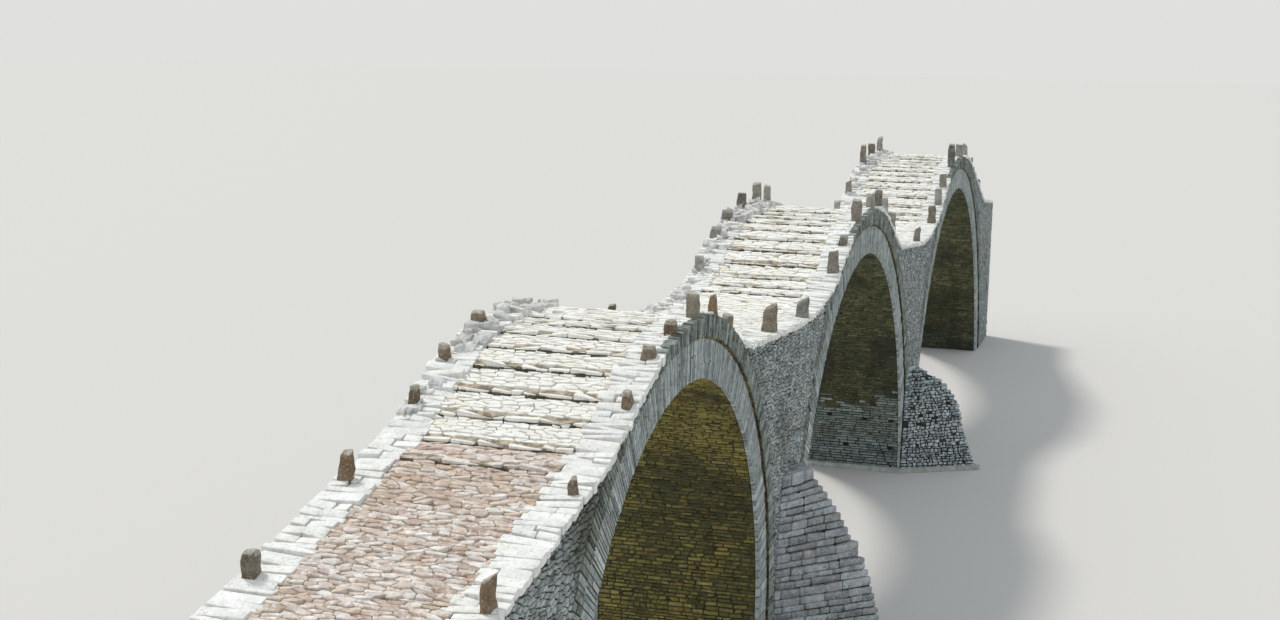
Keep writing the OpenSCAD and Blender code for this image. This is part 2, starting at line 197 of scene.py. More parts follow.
# %% Solids from outlines
def rings_of(stones, bevel, shape, tilt, rng):
    """Points (u, v, h), faces and point values of closed stones. stones: (outline, proud, depth, stain).
    A "slab" has a rounded lower edge too, and a "plain" stone has one slope in place of an arris."""
    points, faces, values, base = [], [], [], 0
    for n in sorted({len(s[0]) for s in stones}):
        batch = [s for s in stones if len(s[0]) == n]
        p = np.array([s[0] for s in batch])
        proud, depth, stain = np.array([s[1:] for s in batch]).T[:, :, None]
        side = np.roll(p, -1, 1) - p
        length = np.linalg.norm(side, axis=2, keepdims=True).clip(1e-6)
        inward = np.stack([-side[..., 1], side[..., 0]], 2)/length
        before = np.roll(inward, 1, 1)
        area = .5*abs((p[..., 0]*np.roll(p[..., 1], -1, 1) - p[..., 1]*np.roll(p[..., 0], -1, 1)).sum(1))
        b = np.minimum(bevel, .6*area/length.sum((1, 2)))[:, None, None]
        small = p + b*(inward + before)/(1 + (inward*before).sum(2, keepdims=True)).clip(.5)
        b = b[..., 0]
        middle = p.mean(1, keepdims=True)
        slope = rng.normal(0, tilt, (len(p), 1, 2))
        face = proud + ((small - middle)*slope).sum(2) + rng.uniform(-.0012, .0012, small.shape[:2])
        arris = face - b*rng.uniform(.5, 1.1, face.shape)
        back = 0*face - depth
        layers = {"slab": [(small, back, 0), (p, back + b, .5), (p, arris, 1), (small, face, .3)],
                  "block": [(p, back, 0), (p, arris, 1), (small, face, .3)],
                  "plain": [(p, back, 0), (small, face, .6)]}[shape]
        crown = np.concatenate([middle, (proud + rng.uniform(0, .0025, proud.shape))[..., None]], 2)
        block = np.concatenate([np.concatenate([f, h[..., None]], 2) for f, h, e in layers] + [crown], 1)
        per = n*len(layers) + 1
        start = base + per*np.arange(len(p))[:, None, None]
        i = np.arange(n); j = (i + 1) % n
        for k in range(len(layers) - 1):
            quad = np.stack([k*n + i, k*n + j, (k + 1)*n + j, (k + 1)*n + i], 1)
            faces += (start + quad).reshape(-1, 4).tolist()
        k = len(layers) - 1
        fan = np.stack([k*n + i, k*n + j, 0*i + per - 1], 1)
        faces += (start + fan).reshape(-1, 3).tolist()
        faces += (start[..., 0] + i[::-1]).tolist()
        edge = np.concatenate([np.full(n, e, float) for f, h, e in layers] + [[0.]])
        own = rng.random((len(p), 2))
        values.append(np.stack([np.repeat(own[:, 0], per), np.repeat(own[:, 1], per),
                                np.repeat(stain[:, 0], per), np.tile(edge, len(p))], 1))
        points.append(block.reshape(-1, 3))
        base += per*len(p)
    return np.concatenate(points), faces, np.concatenate(values)

points, faces = rings_of([(sample, .005, .02, 0)], .006, "block", .035, np.random.default_rng(1))[:2]
print("as a closed block it has", len(points), "points and", len(faces), "faces")

# %% A piece of masonry
def new_object(name, data):
    made = bpy.data.objects.new(name, data)
    bpy.context.collection.objects.link(made)
    return made

class Masonry:
    """Gathers stones that become one object."""
    def __init__(self, name, seed):
        self.name, self.rng = name, np.random.default_rng(seed)
        self.points, self.faces, self.values, self.stones = [], [], [], 0

    def lay(self, stones, place, flip=False, bevel=.006, shape="block", tilt=.035):
        """place turns rows u, v, h into x, y, z; flip is for a place that mirrors."""
        stones = [s for s in stones if s[0]]
        if not stones:
            return
        points, faces, values = rings_of(stones, bevel, shape, tilt, self.rng)
        self.add(place(*points.T), [f[::-1] if flip else f for f in faces], values, len(stones))

    def add(self, points, faces, values, stones=1):
        base = sum(len(p) for p in self.points)
        self.points.append(points)
        self.faces += [[base + k for k in f] for f in faces]
        self.values.append(values)
        self.stones += stones

    def build(self, material, slot, *nodes):
        mesh = bpy.data.meshes.new(self.name)
        mesh.from_pydata(np.concatenate(self.points).tolist(), [], self.faces)
        for k, label in enumerate(("tone", "warm", "stain", "edge")):
            mesh.attributes.new(label, "FLOAT", "POINT").data.foreach_set(
                "value", np.concatenate(self.values)[:, k].astype(np.float32))
        mesh.shade_smooth()
        mesh.set_sharp_from_angle(angle=math.radians(32))
        mesh.materials.append(material)
        piece = new_object(self.name, mesh)
        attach(piece, "root")
        if nodes:
            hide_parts(*nodes)
        triangles = sum(len(f) - 2 for f in self.faces)
        totals.append(triangles)
        print(self.name, self.stones, "stones", triangles, "triangles")

totals = []

# %% [markdown]
# ## The finishes
# All of it is taken as one limestone, yet it reads as many finishes:
# bright washed treads, a pinkish ramp, cool grey walls, blue-grey rings, soffits
# stained ochre and black by seepage, and brown upright guard stones. The effects
# that they share are node groups with named sockets, so that a finish is a short
# list of numbers. Image textures would be quicker, but they repeat along so long
# a wall, and noise in object space never does.

# %% Node helpers
def srgb(r, g, b):
    """A colour as the eye reads it on screen, 0 to 255, as a linear colour."""
    return tuple(((c/255 + .055)/1.055)**2.4 if c > 10 else c/3295 for c in (r, g, b)) + (1,)

def new_group(name, inputs, outputs):
    """A node group with named sockets: its tree, what it is given and what it gives."""
    tree = bpy.data.node_groups.new(name, "ShaderNodeTree")
    for label, kind, value in inputs:
        tree.interface.new_socket(label, in_out="INPUT", socket_type="NodeSocket" + kind).default_value = value
    for label, kind in outputs:
        tree.interface.new_socket(label, in_out="OUTPUT", socket_type="NodeSocket" + kind)
    print("group", name)
    return tree, tree.nodes.new("NodeGroupInput").outputs, tree.nodes.new("NodeGroupOutput").inputs

def plug(tree, socket, value):
    """Links what comes from a node, and writes down a number or a colour."""
    if hasattr(value, "is_output"):
        tree.links.new(value, socket)
    else:
        socket.default_value = value

def attribute(tree, label):
    node = tree.nodes.new("ShaderNodeAttribute")
    node.attribute_name = label
    return node.outputs["Fac"]

def grain(tree, scale, detail=3.0, rough=.55, stretch=None):
    """Noise in object space, with stretch as a scale for each axis."""
    place = tree.nodes.new("ShaderNodeTexCoord").outputs["Object"]
    if stretch:
        mapping = tree.nodes.new("ShaderNodeMapping")
        mapping.inputs["Scale"].default_value = stretch
        tree.links.new(place, mapping.inputs["Vector"])
        place = mapping.outputs["Vector"]
    node = tree.nodes.new("ShaderNodeTexNoise")
    for label, value in (("Vector", place), ("Scale", scale), ("Detail", detail), ("Roughness", rough)):
        plug(tree, node.inputs[label], value)
    return node.outputs["Fac"]

def sums(tree, kind, *terms):
    node = tree.nodes.new("ShaderNodeMath")
    node.operation = kind
    for socket, term in zip(node.inputs, terms):
        plug(tree, socket, term)
    return node.outputs[0]

def times(tree, a, b):
    return sums(tree, "MULTIPLY", a, b)

def weigh(tree, *pairs):
    """The sum of values, each times its weight."""
    parts = [value if weight == 1 else times(tree, value, weight) for value, weight in pairs]
    total = parts[0]
    for part in parts[1:]:
        total = sums(tree, "ADD", total, part)
    return total

def ramp(tree, value, low, high, to_low=0.0, to_high=1.0):
    """value between low and high, carried smoothly to the other range and held there."""
    node = tree.nodes.new("ShaderNodeMapRange")
    node.interpolation_type = "SMOOTHSTEP"
    for label, v in (("Value", value), ("From Min", low), ("From Max", high), ("To Min", to_low), ("To Max", to_high)):
        plug(tree, node.inputs[label], v)
    return node.outputs["Result"]

def blend(tree, share, a, b, kind="MIX"):
    node = tree.nodes.new("ShaderNodeMix")
    node.data_type, node.blend_type, node.clamp_factor = "RGBA", kind, True
    for socket, v in ((node.inputs["Factor"], share), (node.inputs[6], a), (node.inputs[7], b)):
        plug(tree, socket, v)
    return node.outputs[2]

# %% [markdown]
# ### Colour of one stone
# No two blocks from a quarry match: each has its own tone, some are warmer, and
# clouds and thin beds run through every one. The tone and warmth come from the
# numbers kept on the stone, so a whole block changes at once, as it does in a
# wall, and noise adds what changes inside it.

# %% Group: stone colour
stone_colour, given, result = new_group("Stone colour",
    [("Light", "Color", (.6, .6, .6, 1)), ("Dark", "Color", (.3, .3, .3, 1)), ("Warm", "Color", (.5, .4, .3, 1)),
     ("Warm Share", "Float", .3), ("Cloud Scale", "Float", 9.0)], [("Color", "Color")])
tree = stone_colour
cloud = ramp(tree, grain(tree, given["Cloud Scale"], 4, .6), .3, .7)
body = blend(tree, weigh(tree, (attribute(tree, "tone"), .62), (cloud, .38)), given["Dark"], given["Light"])
warmth = times(tree, ramp(tree, attribute(tree, "warm"), .45, 1.0), given["Warm Share"])
tree.links.new(blend(tree, warmth, body, given["Warm"]), result["Color"])

# %% [markdown]
# ### Weather
# Rain and lime mark an old bridge in patches: dark crusts, pale lichen spots and
# a stain where it stays damp. Small pits are darkened in the colour as painted
# shade. How damp a place is, is stored on the stones. The edge of a patch is
# broken by noise at two scales, since a clean edge looks painted.

# %% Group: weather
weather, given, result = new_group("Weather",
    [("Color", "Color", (.5, .5, .5, 1)), ("Crust", "Color", srgb(62, 60, 48)), ("Crust Share", "Float", .3),
     ("Lichen", "Color", srgb(206, 208, 200)), ("Lichen Share", "Float", .3),
     ("Stain", "Color", srgb(104, 80, 50)), ("Patch Scale", "Float", 2.2), ("Spot Scale", "Float", 26.0),
     ("Pit Share", "Float", .3), ("Pit Scale", "Float", 48.0)],
    [("Color", "Color"), ("Damp", "Float")])
tree = weather
ragged = weigh(tree, (grain(tree, given["Patch Scale"], 5, .62), .7), (grain(tree, 42.0, 3, .6), .3))
spread = times(tree, given["Crust Share"], .3)
crust = ramp(tree, ragged, sums(tree, "SUBTRACT", .68, spread), sums(tree, "SUBTRACT", .80, spread))
lichen = times(tree, ramp(tree, grain(tree, given["Spot Scale"], 2, .5), .56, .64), given["Lichen Share"])
damp = ramp(tree, weigh(tree, (attribute(tree, "stain"), 1), (ragged, .9)), .62, 1.25)
colour = blend(tree, lichen, given["Color"], given["Lichen"])
colour = blend(tree, times(tree, crust, .75), colour, given["Crust"])
colour = blend(tree, times(tree, damp, .85), colour, given["Stain"])
# pits darkened in the colour: painted shade inside small pits
holes = ramp(tree, grain(tree, given["Pit Scale"], 3, .6, (1, 1, 1.7)), .44, .34)
pits_darkened_as_shade = blend(tree, 1.0, colour, (.16, .16, .13, 1), "MULTIPLY")
tree.links.new(blend(tree, times(tree, holes, given["Pit Share"]), colour, pits_darkened_as_shade), result["Color"])
tree.links.new(damp, result["Damp"])

# %% [markdown]
# ### Worn edges and grime
# Corners of old limestone are bruised pale, and dirt lies over the rest in
# clouds. The edge value is 1 at the arris and 0 at the back and the middle of
# the face, so the group finds the arris without looking at the geometry again.

# %% Group: edge wear
edge_wear, given, result = new_group("Edge wear",
    [("Color", "Color", (.5, .5, .5, 1)), ("Wear", "Float", .3), ("Grime", "Float", .5)], [("Color", "Color")])
tree = edge_wear
chipped = ramp(tree, weigh(tree, (attribute(tree, "edge"), 1), (grain(tree, 60.0, 2), 1)), 1.15, 1.6)
pale = blend(tree, times(tree, chipped, given["Wear"]), given["Color"], srgb(226, 224, 214))
grimy = times(tree, ramp(tree, grain(tree, 17.0, 3), .35, .75), given["Grime"])
tree.links.new(blend(tree, grimy, pale, blend(tree, 1.0, pale, (.42, .38, .32, 1), "MULTIPLY")), result["Color"])

# %% [markdown]
# ### Relief of the stone
# Split limestone is rough at three sizes: swells from the hammer, bedding lines
# and pits. The group adds them into one height, and the material's own Bump
# node turns it into light and shade.

# %% Group: stone relief
stone_relief, given, result = new_group("Stone relief",
    [("Pits", "Float", .5), ("Beds", "Float", .4), ("Size", "Float", 30.0)], [("Height", "Float")])
tree = stone_relief
beds, pits = grain(tree, 18.0, 3, .5, (1, 1, 5)), ramp(tree, grain(tree, 70.0, 2, .5), .30, .48)
tree.links.new(weigh(tree, (grain(tree, given["Size"], 5, .6), 1), (beds, given["Beds"]), (pits, given["Pits"])),
               result["Height"])

# %% A finish from the groups
def use(tree, group, **values):
    """Places a group and fills its named sockets."""
    node = tree.nodes.new("ShaderNodeGroup")
    node.node_tree = group
    for label, value in values.items():
        plug(tree, node.inputs[label.replace("_", " ")], value)
    return node.outputs

def new_material(name, rough=.95):
    """A material, its tree and the sockets of its shader."""
    material = bpy.data.materials.new(name)
    material.use_nodes = True
    shader = material.node_tree.nodes["Principled BSDF"].inputs
    shader["Roughness"].default_value = rough
    return material, material.node_tree, shader

def raise_surface(tree, shader, height, strength):
    """Turns a height into light and shade."""
    bump = tree.nodes.new("ShaderNodeBump")
    bump.inputs["Strength"].default_value = strength
    bump.inputs["Distance"].default_value = .006
    tree.links.new(height, bump.inputs["Height"])
    tree.links.new(bump.outputs["Normal"], shader["Normal"])

def finish(name, light, dark, warm, warm_share=.3, crust=.3, crust_colour=(62, 60, 48), lichen=.3,
           lichen_colour=(206, 208, 200), stain=(104, 80, 50), patch=2.2, spots=26.0, holes=.3, hole_scale=48.0,
           wear=.3, grime=.5, pits=.5, size=30.0, bump=.5, rough=(.78, .95)):
    """One limestone finish. Colours are as the eye reads them, 0 to 255."""
    material, tree, shader = new_material(name + "_limestone")
    colour = use(tree, stone_colour, Light=srgb(*light), Dark=srgb(*dark), Warm=srgb(*warm), Warm_Share=warm_share)
    aged = use(tree, weather, Color=colour["Color"], Crust=srgb(*crust_colour), Crust_Share=crust,
               Lichen=srgb(*lichen_colour), Lichen_Share=lichen, Stain=srgb(*stain), Patch_Scale=patch,
               Spot_Scale=spots, Pit_Share=holes, Pit_Scale=hole_scale)
    worn = use(tree, edge_wear, Color=aged["Color"], Wear=wear, Grime=grime)
    raise_surface(tree, shader, use(tree, stone_relief, Pits=pits, Size=size)["Height"], bump)
    tree.links.new(worn["Color"], shader["Base Color"])
    tree.links.new(ramp(tree, aged["Damp"], 0, 1, rough[1], rough[0]), shader["Roughness"])
    shader["Specular IOR Level"].default_value = .3
    return material

print("groups", [group.name for group in bpy.data.node_groups])

# %% The finishes
wall_finish = finish("wall", (208, 218, 219), (114, 125, 127), (164, 158, 150), .3, crust=.38,
    crust_colour=(72, 78, 58), lichen=.5, stain=(80, 84, 64), grime=.6, pits=.8, holes=.9)
ring_finish = finish("ring", (214, 225, 226), (116, 127, 131), (176, 172, 156), .25, crust=.2,
    crust_colour=(92, 98, 90), lichen=.35, stain=(112, 104, 82), grime=.5, holes=.5)
outer_ring_finish = finish("outer_ring", (192, 204, 200), (78, 88, 88), (146, 146, 128), .3, crust=.42,
    crust_colour=(60, 66, 54), lichen=.35, stain=(84, 84, 62), grime=.6, holes=.8)
soffit_finish = finish("soffit", (172, 164, 94), (96, 94, 54), (150, 112, 54), .4, crust=.5,
    crust_colour=(46, 48, 28), lichen=.3, lichen_colour=(180, 170, 120), stain=(50, 58, 38),
    patch=2.4, grime=.3, wear=.1, rough=(.6, .92), holes=.7)
far_soffit_finish = finish("far_soffit", (128, 133, 98), (54, 60, 46), (108, 98, 64), .4, crust=.6,
    crust_colour=(32, 38, 26), lichen=.35, lichen_colour=(150, 158, 132), stain=(50, 58, 46),
    patch=2.0, grime=.4, wear=.1, rough=(.6, .92), holes=.6)
# seepage colour, also used as painted shadow under the outer rings
seepage_and_shade_finish = finish("seepage", (156, 144, 104), (70, 62, 46), (112, 94, 62), .4, crust=.55,
    crust_colour=(40, 35, 24), lichen=.2, stain=(36, 31, 22), grime=.3, wear=.1)
pier_finish = finish("pier", (160, 176, 174), (92, 104, 106), (124, 122, 104), .35, crust=.4,
    crust_colour=(54, 60, 54), lichen=.3, lichen_colour=(188, 200, 198), stain=(76, 82, 68),
    patch=1.7, grime=.5, wear=.25, holes=.6)
paving_finish = finish("paving", (255, 253, 249), (180, 151, 138), (236, 206, 184), .4, crust=.18,
    crust_colour=(166, 146, 130), lichen=.6, lichen_colour=(255, 254, 252), stain=(206, 178, 152),
    wear=.5, grime=.3, rough=(.8, .92), holes=.3, bump=.35)
tread_finish = finish("tread", (255, 255, 252), (246, 243, 236), (246, 237, 219), .25, crust=.05,
    crust_colour=(190, 180, 160), lichen=.3, lichen_colour=(255, 255, 252), stain=(232, 222, 194),
    wear=.4, grime=.2, rough=(.8, .92), holes=.2, bump=.3)
kerb_finish = finish("kerb", (255, 255, 253), (238, 238, 236), (244, 239, 228), .25, crust=.10,
    crust_colour=(150, 147, 140), lichen=.3, lichen_colour=(254, 254, 252), wear=.3, grime=.25, bump=.35)
pile_finish = finish("piled", (255, 255, 255), (190, 190, 190), (230, 224, 214), .25, crust=.25,
    crust_colour=(104, 102, 98), lichen=.3, lichen_colour=(252, 252, 250), wear=.3, grime=.5, size=18.0)
near_guard_finish = finish("near_guard", (166, 157, 140), (88, 78, 66), (134, 96, 54), .6, crust=.35,
    crust_colour=(62, 56, 46), lichen=.4, lichen_colour=(198, 194, 182), spots=64.0, wear=.5, size=22.0)
guard_finish = finish("guard", (190, 190, 182), (92, 88, 82), (118, 92, 62), .45, crust=.35,
    crust_colour=(66, 62, 52), lichen=.4, lichen_colour=(206, 206, 198), spots=64.0, wear=.5, size=22.0)
cutwater_finish = finish("cutwater", (204, 212, 220), (120, 125, 132), (172, 158, 152), .3, crust=.3,
    crust_colour=(74, 74, 66), lichen=.4, grime=.5, pits=.8, holes=.8)
rubble_finish = finish("rubble", (234, 248, 254), (120, 134, 142), (150, 152, 152), .25, crust=.38,
    crust_colour=(48, 51, 47), lichen=.5, lichen_colour=(218, 226, 230), grime=.6, pits=.9,
    holes=1.0, hole_scale=30.0)
print("finishes", [m.name for m in bpy.data.materials if m.name.endswith("limestone")])

# %% [markdown]
# ### Mortar and soil
# What shows between the stones is the core: dark lime mortar in the walls, and
# ochre soil that has filled the joints of the paving. It needs no stone values,
# only two scales of noise, but it is never one flat colour.

# %% Core materials for the solids
def core(name, light, dark):
    material, tree, shader = new_material(name)
    mottled = ramp(tree, grain(tree, 14.0, 5, .65), .35, .65)
    tree.links.new(blend(tree, mottled, srgb(*dark), srgb(*light)), shader["Base Color"])
    raise_surface(tree, shader, grain(tree, 55.0, 5, .6), .6)
    return material

mortar = core("lime_mortar", (70, 70, 62), (32, 32, 28))
soffit_mortar = core("soffit_mortar", (84, 76, 46), (44, 40, 26))
soil = core("joint_soil", (202, 188, 166), (122, 108, 92))
# dark brown for the lumps below the ribs: soil, and painted shade of the steps
soil_and_step_shade_finish = core("soil_and_painted_step_shade", (112, 102, 80), (62, 56, 42))
# near-black for the bottom of the beam holes: painted shade of their depth
painted_hole_shade = core("painted_hole_shade_dark", (24, 23, 19), (12, 12, 10))
footing = finish("footing", (222, 226, 220), (180, 184, 180), (176, 166, 150), .3, crust=.4, lichen=.3)
for name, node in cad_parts.items():
    chosen = soil if name.startswith("paving") else soffit_mortar if name.endswith("vault") else mortar
    if name == "pier_two_footing":
        chosen = footing
    node.data.materials.clear()
    node.data.materials.append(chosen)
print("core materials on", len(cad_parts), "solids")

# %% [markdown]
# ## The walls
# The front of the spandrels is small rubble in loose rows, with a few stones
# missing. The back, which is guessed, has plain wavy courses. Each stone is cut
# by the circle of the outer ring and by the line of the deck, and that cut is
# what makes the wall look built round its arches. The circle is so large beside
# one stone that its tangent serves for the cut.

# %% Places on the bridge
def on_face(side, recess=0.0):
    """Outward from a long face: side is -1 for the front and 1 for the back."""
    def place(u, v, h):
        return np.stack([u, side*(HALF_W - recess + h), v], 1)
    return place

def wave(x, z):
    """How far a level course wanders, in metres."""
    return .010*math.sin(1.3*x + 2.1*z) + .006*math.sin(3.7*x - z)

def middle_of(outline):
    return [sum(values)/len(outline) for values in zip(*outline)]

def from_centre(arch, x, z):
    """A point as an arch's centre sees it. Beside upright legs its height counts as 0."""
    rise = z - arch.z
    return x - arch.x, max(rise, 0) if arch.z > 0 else rise

def clear_of_ring(outline, arch):
    """Cuts an outline by the tangent of an arch's outer ring."""
    if outline is None:
        return None
    u, v = from_centre(arch, *middle_of(outline))
    far = math.hypot(u, v)
    if abs(far - arch.outer) > .3:
        return outline if far > arch.outer else None
    u, v = u/far, v/far
    return cut(outline, -u, -v, -(arch.outer + .004 + u*arch.x + v*arch.z))

def under_deck(outline, side, drop=SLAB):
    """Cuts an outline at drop below the top of the edge stones."""
    if outline is None:
        return None
    u0, u1 = min(p[0] for p in outline), max(p[0] for p in outline)
    z0, z1 = kerb_z(u0, side) - drop, kerb_z(u1, side) - drop
    slope = (z1 - z0)/max(u1 - u0, 1e-6)
    return cut(outline, -slope, 1, z0 - slope*u0)

def fitted(outline, side):
    """An outline on the wall, cut by the rings and by the deck."""
    for arch in ARCHES.values():
        outline = clear_of_ring(outline, arch)
    return under_deck(outline, side)

def at_crown(x, side):
    """True where an outer ring stands up beside the edge slabs: from near its crest on, on the front only."""
    return side < 0 and any(x > a.x - .28*a.r and math.hypot(x - a.x, kerb_z(x, side) - SLAB - a.z) < a.outer
                            for a in ARCHES.values())

def dampness(x, z):
    """How damp the front or back is, from 0: beside the rings' far flanks, at the near end and in clouds."""
    value = 0.0
    for arch in ARCHES.values():
        away = math.hypot(*from_centre(arch, x, z)) - arch.outer
        if x > arch.x and 0 < away < .22 and z > 1.2:
            value = max(value, .42*(1 - away/.22))
    cloud = noise.noise(Vector((x*1.4, z*1.4, 3.7)))
    return max(value, (.34 if x < -9.4 else .10) + .45*cloud, 0)

def plan_of(node):
    """The centre in x, and for each course of the solid its half width, reach, bottom and top."""
    points = corners(node)
    y = abs(points[:, 1]) - HALF_W
    centre = float(points[y > y.max() - 1e-4, 0].mean())
    noses = points[(abs(points[:, 0] - centre) < 1e-4) & (y > 1e-4)]
    reaches = np.unique((abs(noses[:, 1]) - HALF_W).round(4))[::-1]
    rows = []
    for reach in reaches:
        z = noses[abs(abs(noses[:, 1]) - HALF_W - reach) < 1e-4, 2]
        wide = points[(y < 1e-4) & (points[:, 2] > z.min() - 1e-4) & (points[:, 2] < z.max() + 1e-4), 0]
        rows.append((abs(wide - centre).max(), float(reach), float(z.min()), float(z.max())))
    return centre, sorted(rows, key=lambda row: row[2])

CUTWATERS = {}
for number in ("one", "two"):
    centre, body = plan_of("cutwater_%s_front" % number)
    rows = body + plan_of("cap_%s_front" % number)[1]
    if number == "one":
        rows = [row for row in rows if row[2] < 1.90]      # its top blocks lie lower than the solid's tip
    CUTWATERS[number] = centre, rows, body[-1][3]

def row_at(rows, z):
    """The course of a cutwater's solid at a height, or None above it."""
    return next((row for row in rows if row[2] <= z < row[3]), None)

def behind_cutwater(u0, u1, z1):
    """True where a cutwater hides the wall."""
    for centre, rows, body_top in CUTWATERS.values():
        row = row_at(rows, z1 + .03)
        if row and centre - row[0] + .03 < u0 and u1 < centre + row[0] - .03:
            return True
    return False

print("cutwaters", {number: "x %.2f, %.2f m out" % (centre, rows[0][1])
                    for number, (centre, rows, body_top) in CUTWATERS.items()})

# %% Wall stones
def wall_stones(rng, side):
    """The facing of one side, rubble on the front and courses on the back."""
    stones, top = [], float(KERBS[side][2].max())
    if side < 0:
        for shape in scattered(0, top, NEAR_END, FAR_END, (.030, .044), (.045, .125), rng, .42, (.0004, .0030)):
            mid, low = middle_of(shape)[1], min(z for z, x in shape)
            if low > kerb_z(mid, side) or behind_cutwater(mid - .04, mid + .04, low + .04) or rng.random() < .012:
                continue
            shape = fitted([(x, max(z + wave(x, z)*min(1, z/.3), .002)) for z, x in shape[::-1]], side)
            if shape:
                deep = .06 if low + .04 > core_z(mid) - .02 else .005
                stones.append((shape, rng.uniform(.004, .015), deep, dampness(mid, low)))
        return stones
    for x0, x1, z0, z1 in courses(NEAR_END, FAR_END, 0, top, (.050, .085), (.08, .20), rng):
        mid = .5*(x0 + x1)
        if z0 > kerb_z(mid, side) or behind_cutwater(x0, x1, z1) or rng.random() < .010:
            continue
        if any(math.hypot(*from_centre(arch, mid, .5*(z0 + z1))) < arch.outer - .2 for arch in ARCHES.values()):
            continue
        beds = [z0, z1]
        if x1 - x0 > .09 and z1 - z0 > .044 and rng.random() < .4:      # two thin stones in place of one
            beds.insert(1, z0 + (z1 - z0)*rng.uniform(.4, .6))
        shift = wave(mid, z0)*min(1, z0/.3)
        for low, high in zip(beds, beds[1:]):
            shape = fitted(cell(x0, x1, max(low + shift, .002), high + shift, rng, .0006, .006, .018, .010), side)
            if shape:
                deep = .06 if high > core_z(mid) - .02 else .005
                stones.append((shape, rng.uniform(.004, .014), deep, dampness(mid, z0)))
    return stones

for label, side, seed in (("front", -1, 11), ("back", 1, 12)):
    wall = Masonry("wall_stones_" + label, seed)
    wall.lay(wall_stones(random.Random(seed), side), on_face(side), side > 0, bevel=.006, shape="plain", tilt=.07)
    wall.build(wall_finish, "wall_stone")

# %% [markdown]
# ## The rings
# Each arch is two rings of thin voussoirs, set on edge so that their beds point
# at the centre. The outer ring is flush with the wall and overhangs the inner
# one, which is the end of the vault. The stones are laid out along the arc, as
# on the timber centring, and then bent round it: s is the distance along the
# soffit from the crown, so one layout serves a full half circle with upright
# legs and a flatter arch that springs lower. Where the outer ring overhangs, a
# strip of small brown stones stands for the seepage on its underside, from the
# crown down the far flank of each arch, and grows darker down the flank as
# painted shadow. A thin dark band on the inner ring just under the overhang is
# painted shadow of the outer ring.

# %% Round an arch
def bend(arch, s, radius):
    """Where a point at s along the soffit, in metres from the crown, lies at that radius."""
    x, z, r = arch[:3]
    s = np.asarray(s, float)
    quarter = r*math.pi/2 if z > 0 else 1e9
    turn = np.clip(s, -quarter, quarter)/r
    leg = np.clip(abs(s) - quarter, 0, None)
    return x + radius*np.sin(turn), z + radius*np.cos(turn) - leg

def bent(arch, outline):
    """An outline of s and radius, bent round the arch and cut off at the ground."""
    x, z = bend(arch, [p[0] for p in outline], np.array([p[1] for p in outline]))
    return cut(list(zip(x.tolist(), z.tolist())), 0, -1, -.002)

def foot_of(arch, radius=None):
    """How far along the soffit the foot lies from the crown."""
    return arch.r*math.pi/2 + arch.z if arch.z > 0 else arch.r*math.acos(-arch.z/(radius or arch.r))

def under_arch(arch, radius):
    """Inward from an arch at that radius: u runs along the arc, v across the bridge."""
    def place(u, v, h):
        x, z = bend(arch, u, radius - h)
        return np.stack([x, v, z], 1)
    return place

print("soffits from crown to foot, m", {number: round(foot_of(arch), 2) for number, arch in ARCHES.items()})

# %% Ring stones
def voussoirs(arch, inner, outer, width, rng, split, side):
    """Ring stones between two radii, as outlines in x and z. At the crown they run up beside the deck."""
    stones, foot = [], foot_of(arch, outer)
    spread = arch.r/inner
    s = -foot
    while s < foot:
        step = rng.uniform(*width)*spread*(1 + 1.6*min(1, max(0, abs(s)/arch.r - .75)*2))      # wider on the legs
        breaks = [inner, outer]
        if rng.random() < split:
            breaks.insert(1, inner + (outer - inner)*rng.uniform(.35, .65))
        for lo, hi in zip(breaks, breaks[1:]):
            gap = .0045 if rng.random() < (.16 if inner > arch.r else .06) else .0010
            shape = cell(s, s + step, lo, hi, rng, gap, .0020, .006, .002, 9)
            if shape:
                shape = bent(arch, shape)
                drop = rng.uniform(-.010, .008) if shape and at_crown(shape[0][0], side) else SLAB
                shape = under_deck(shape, side, drop)
                if shape:
                    stones.append(shape)
        s += step
    return stones

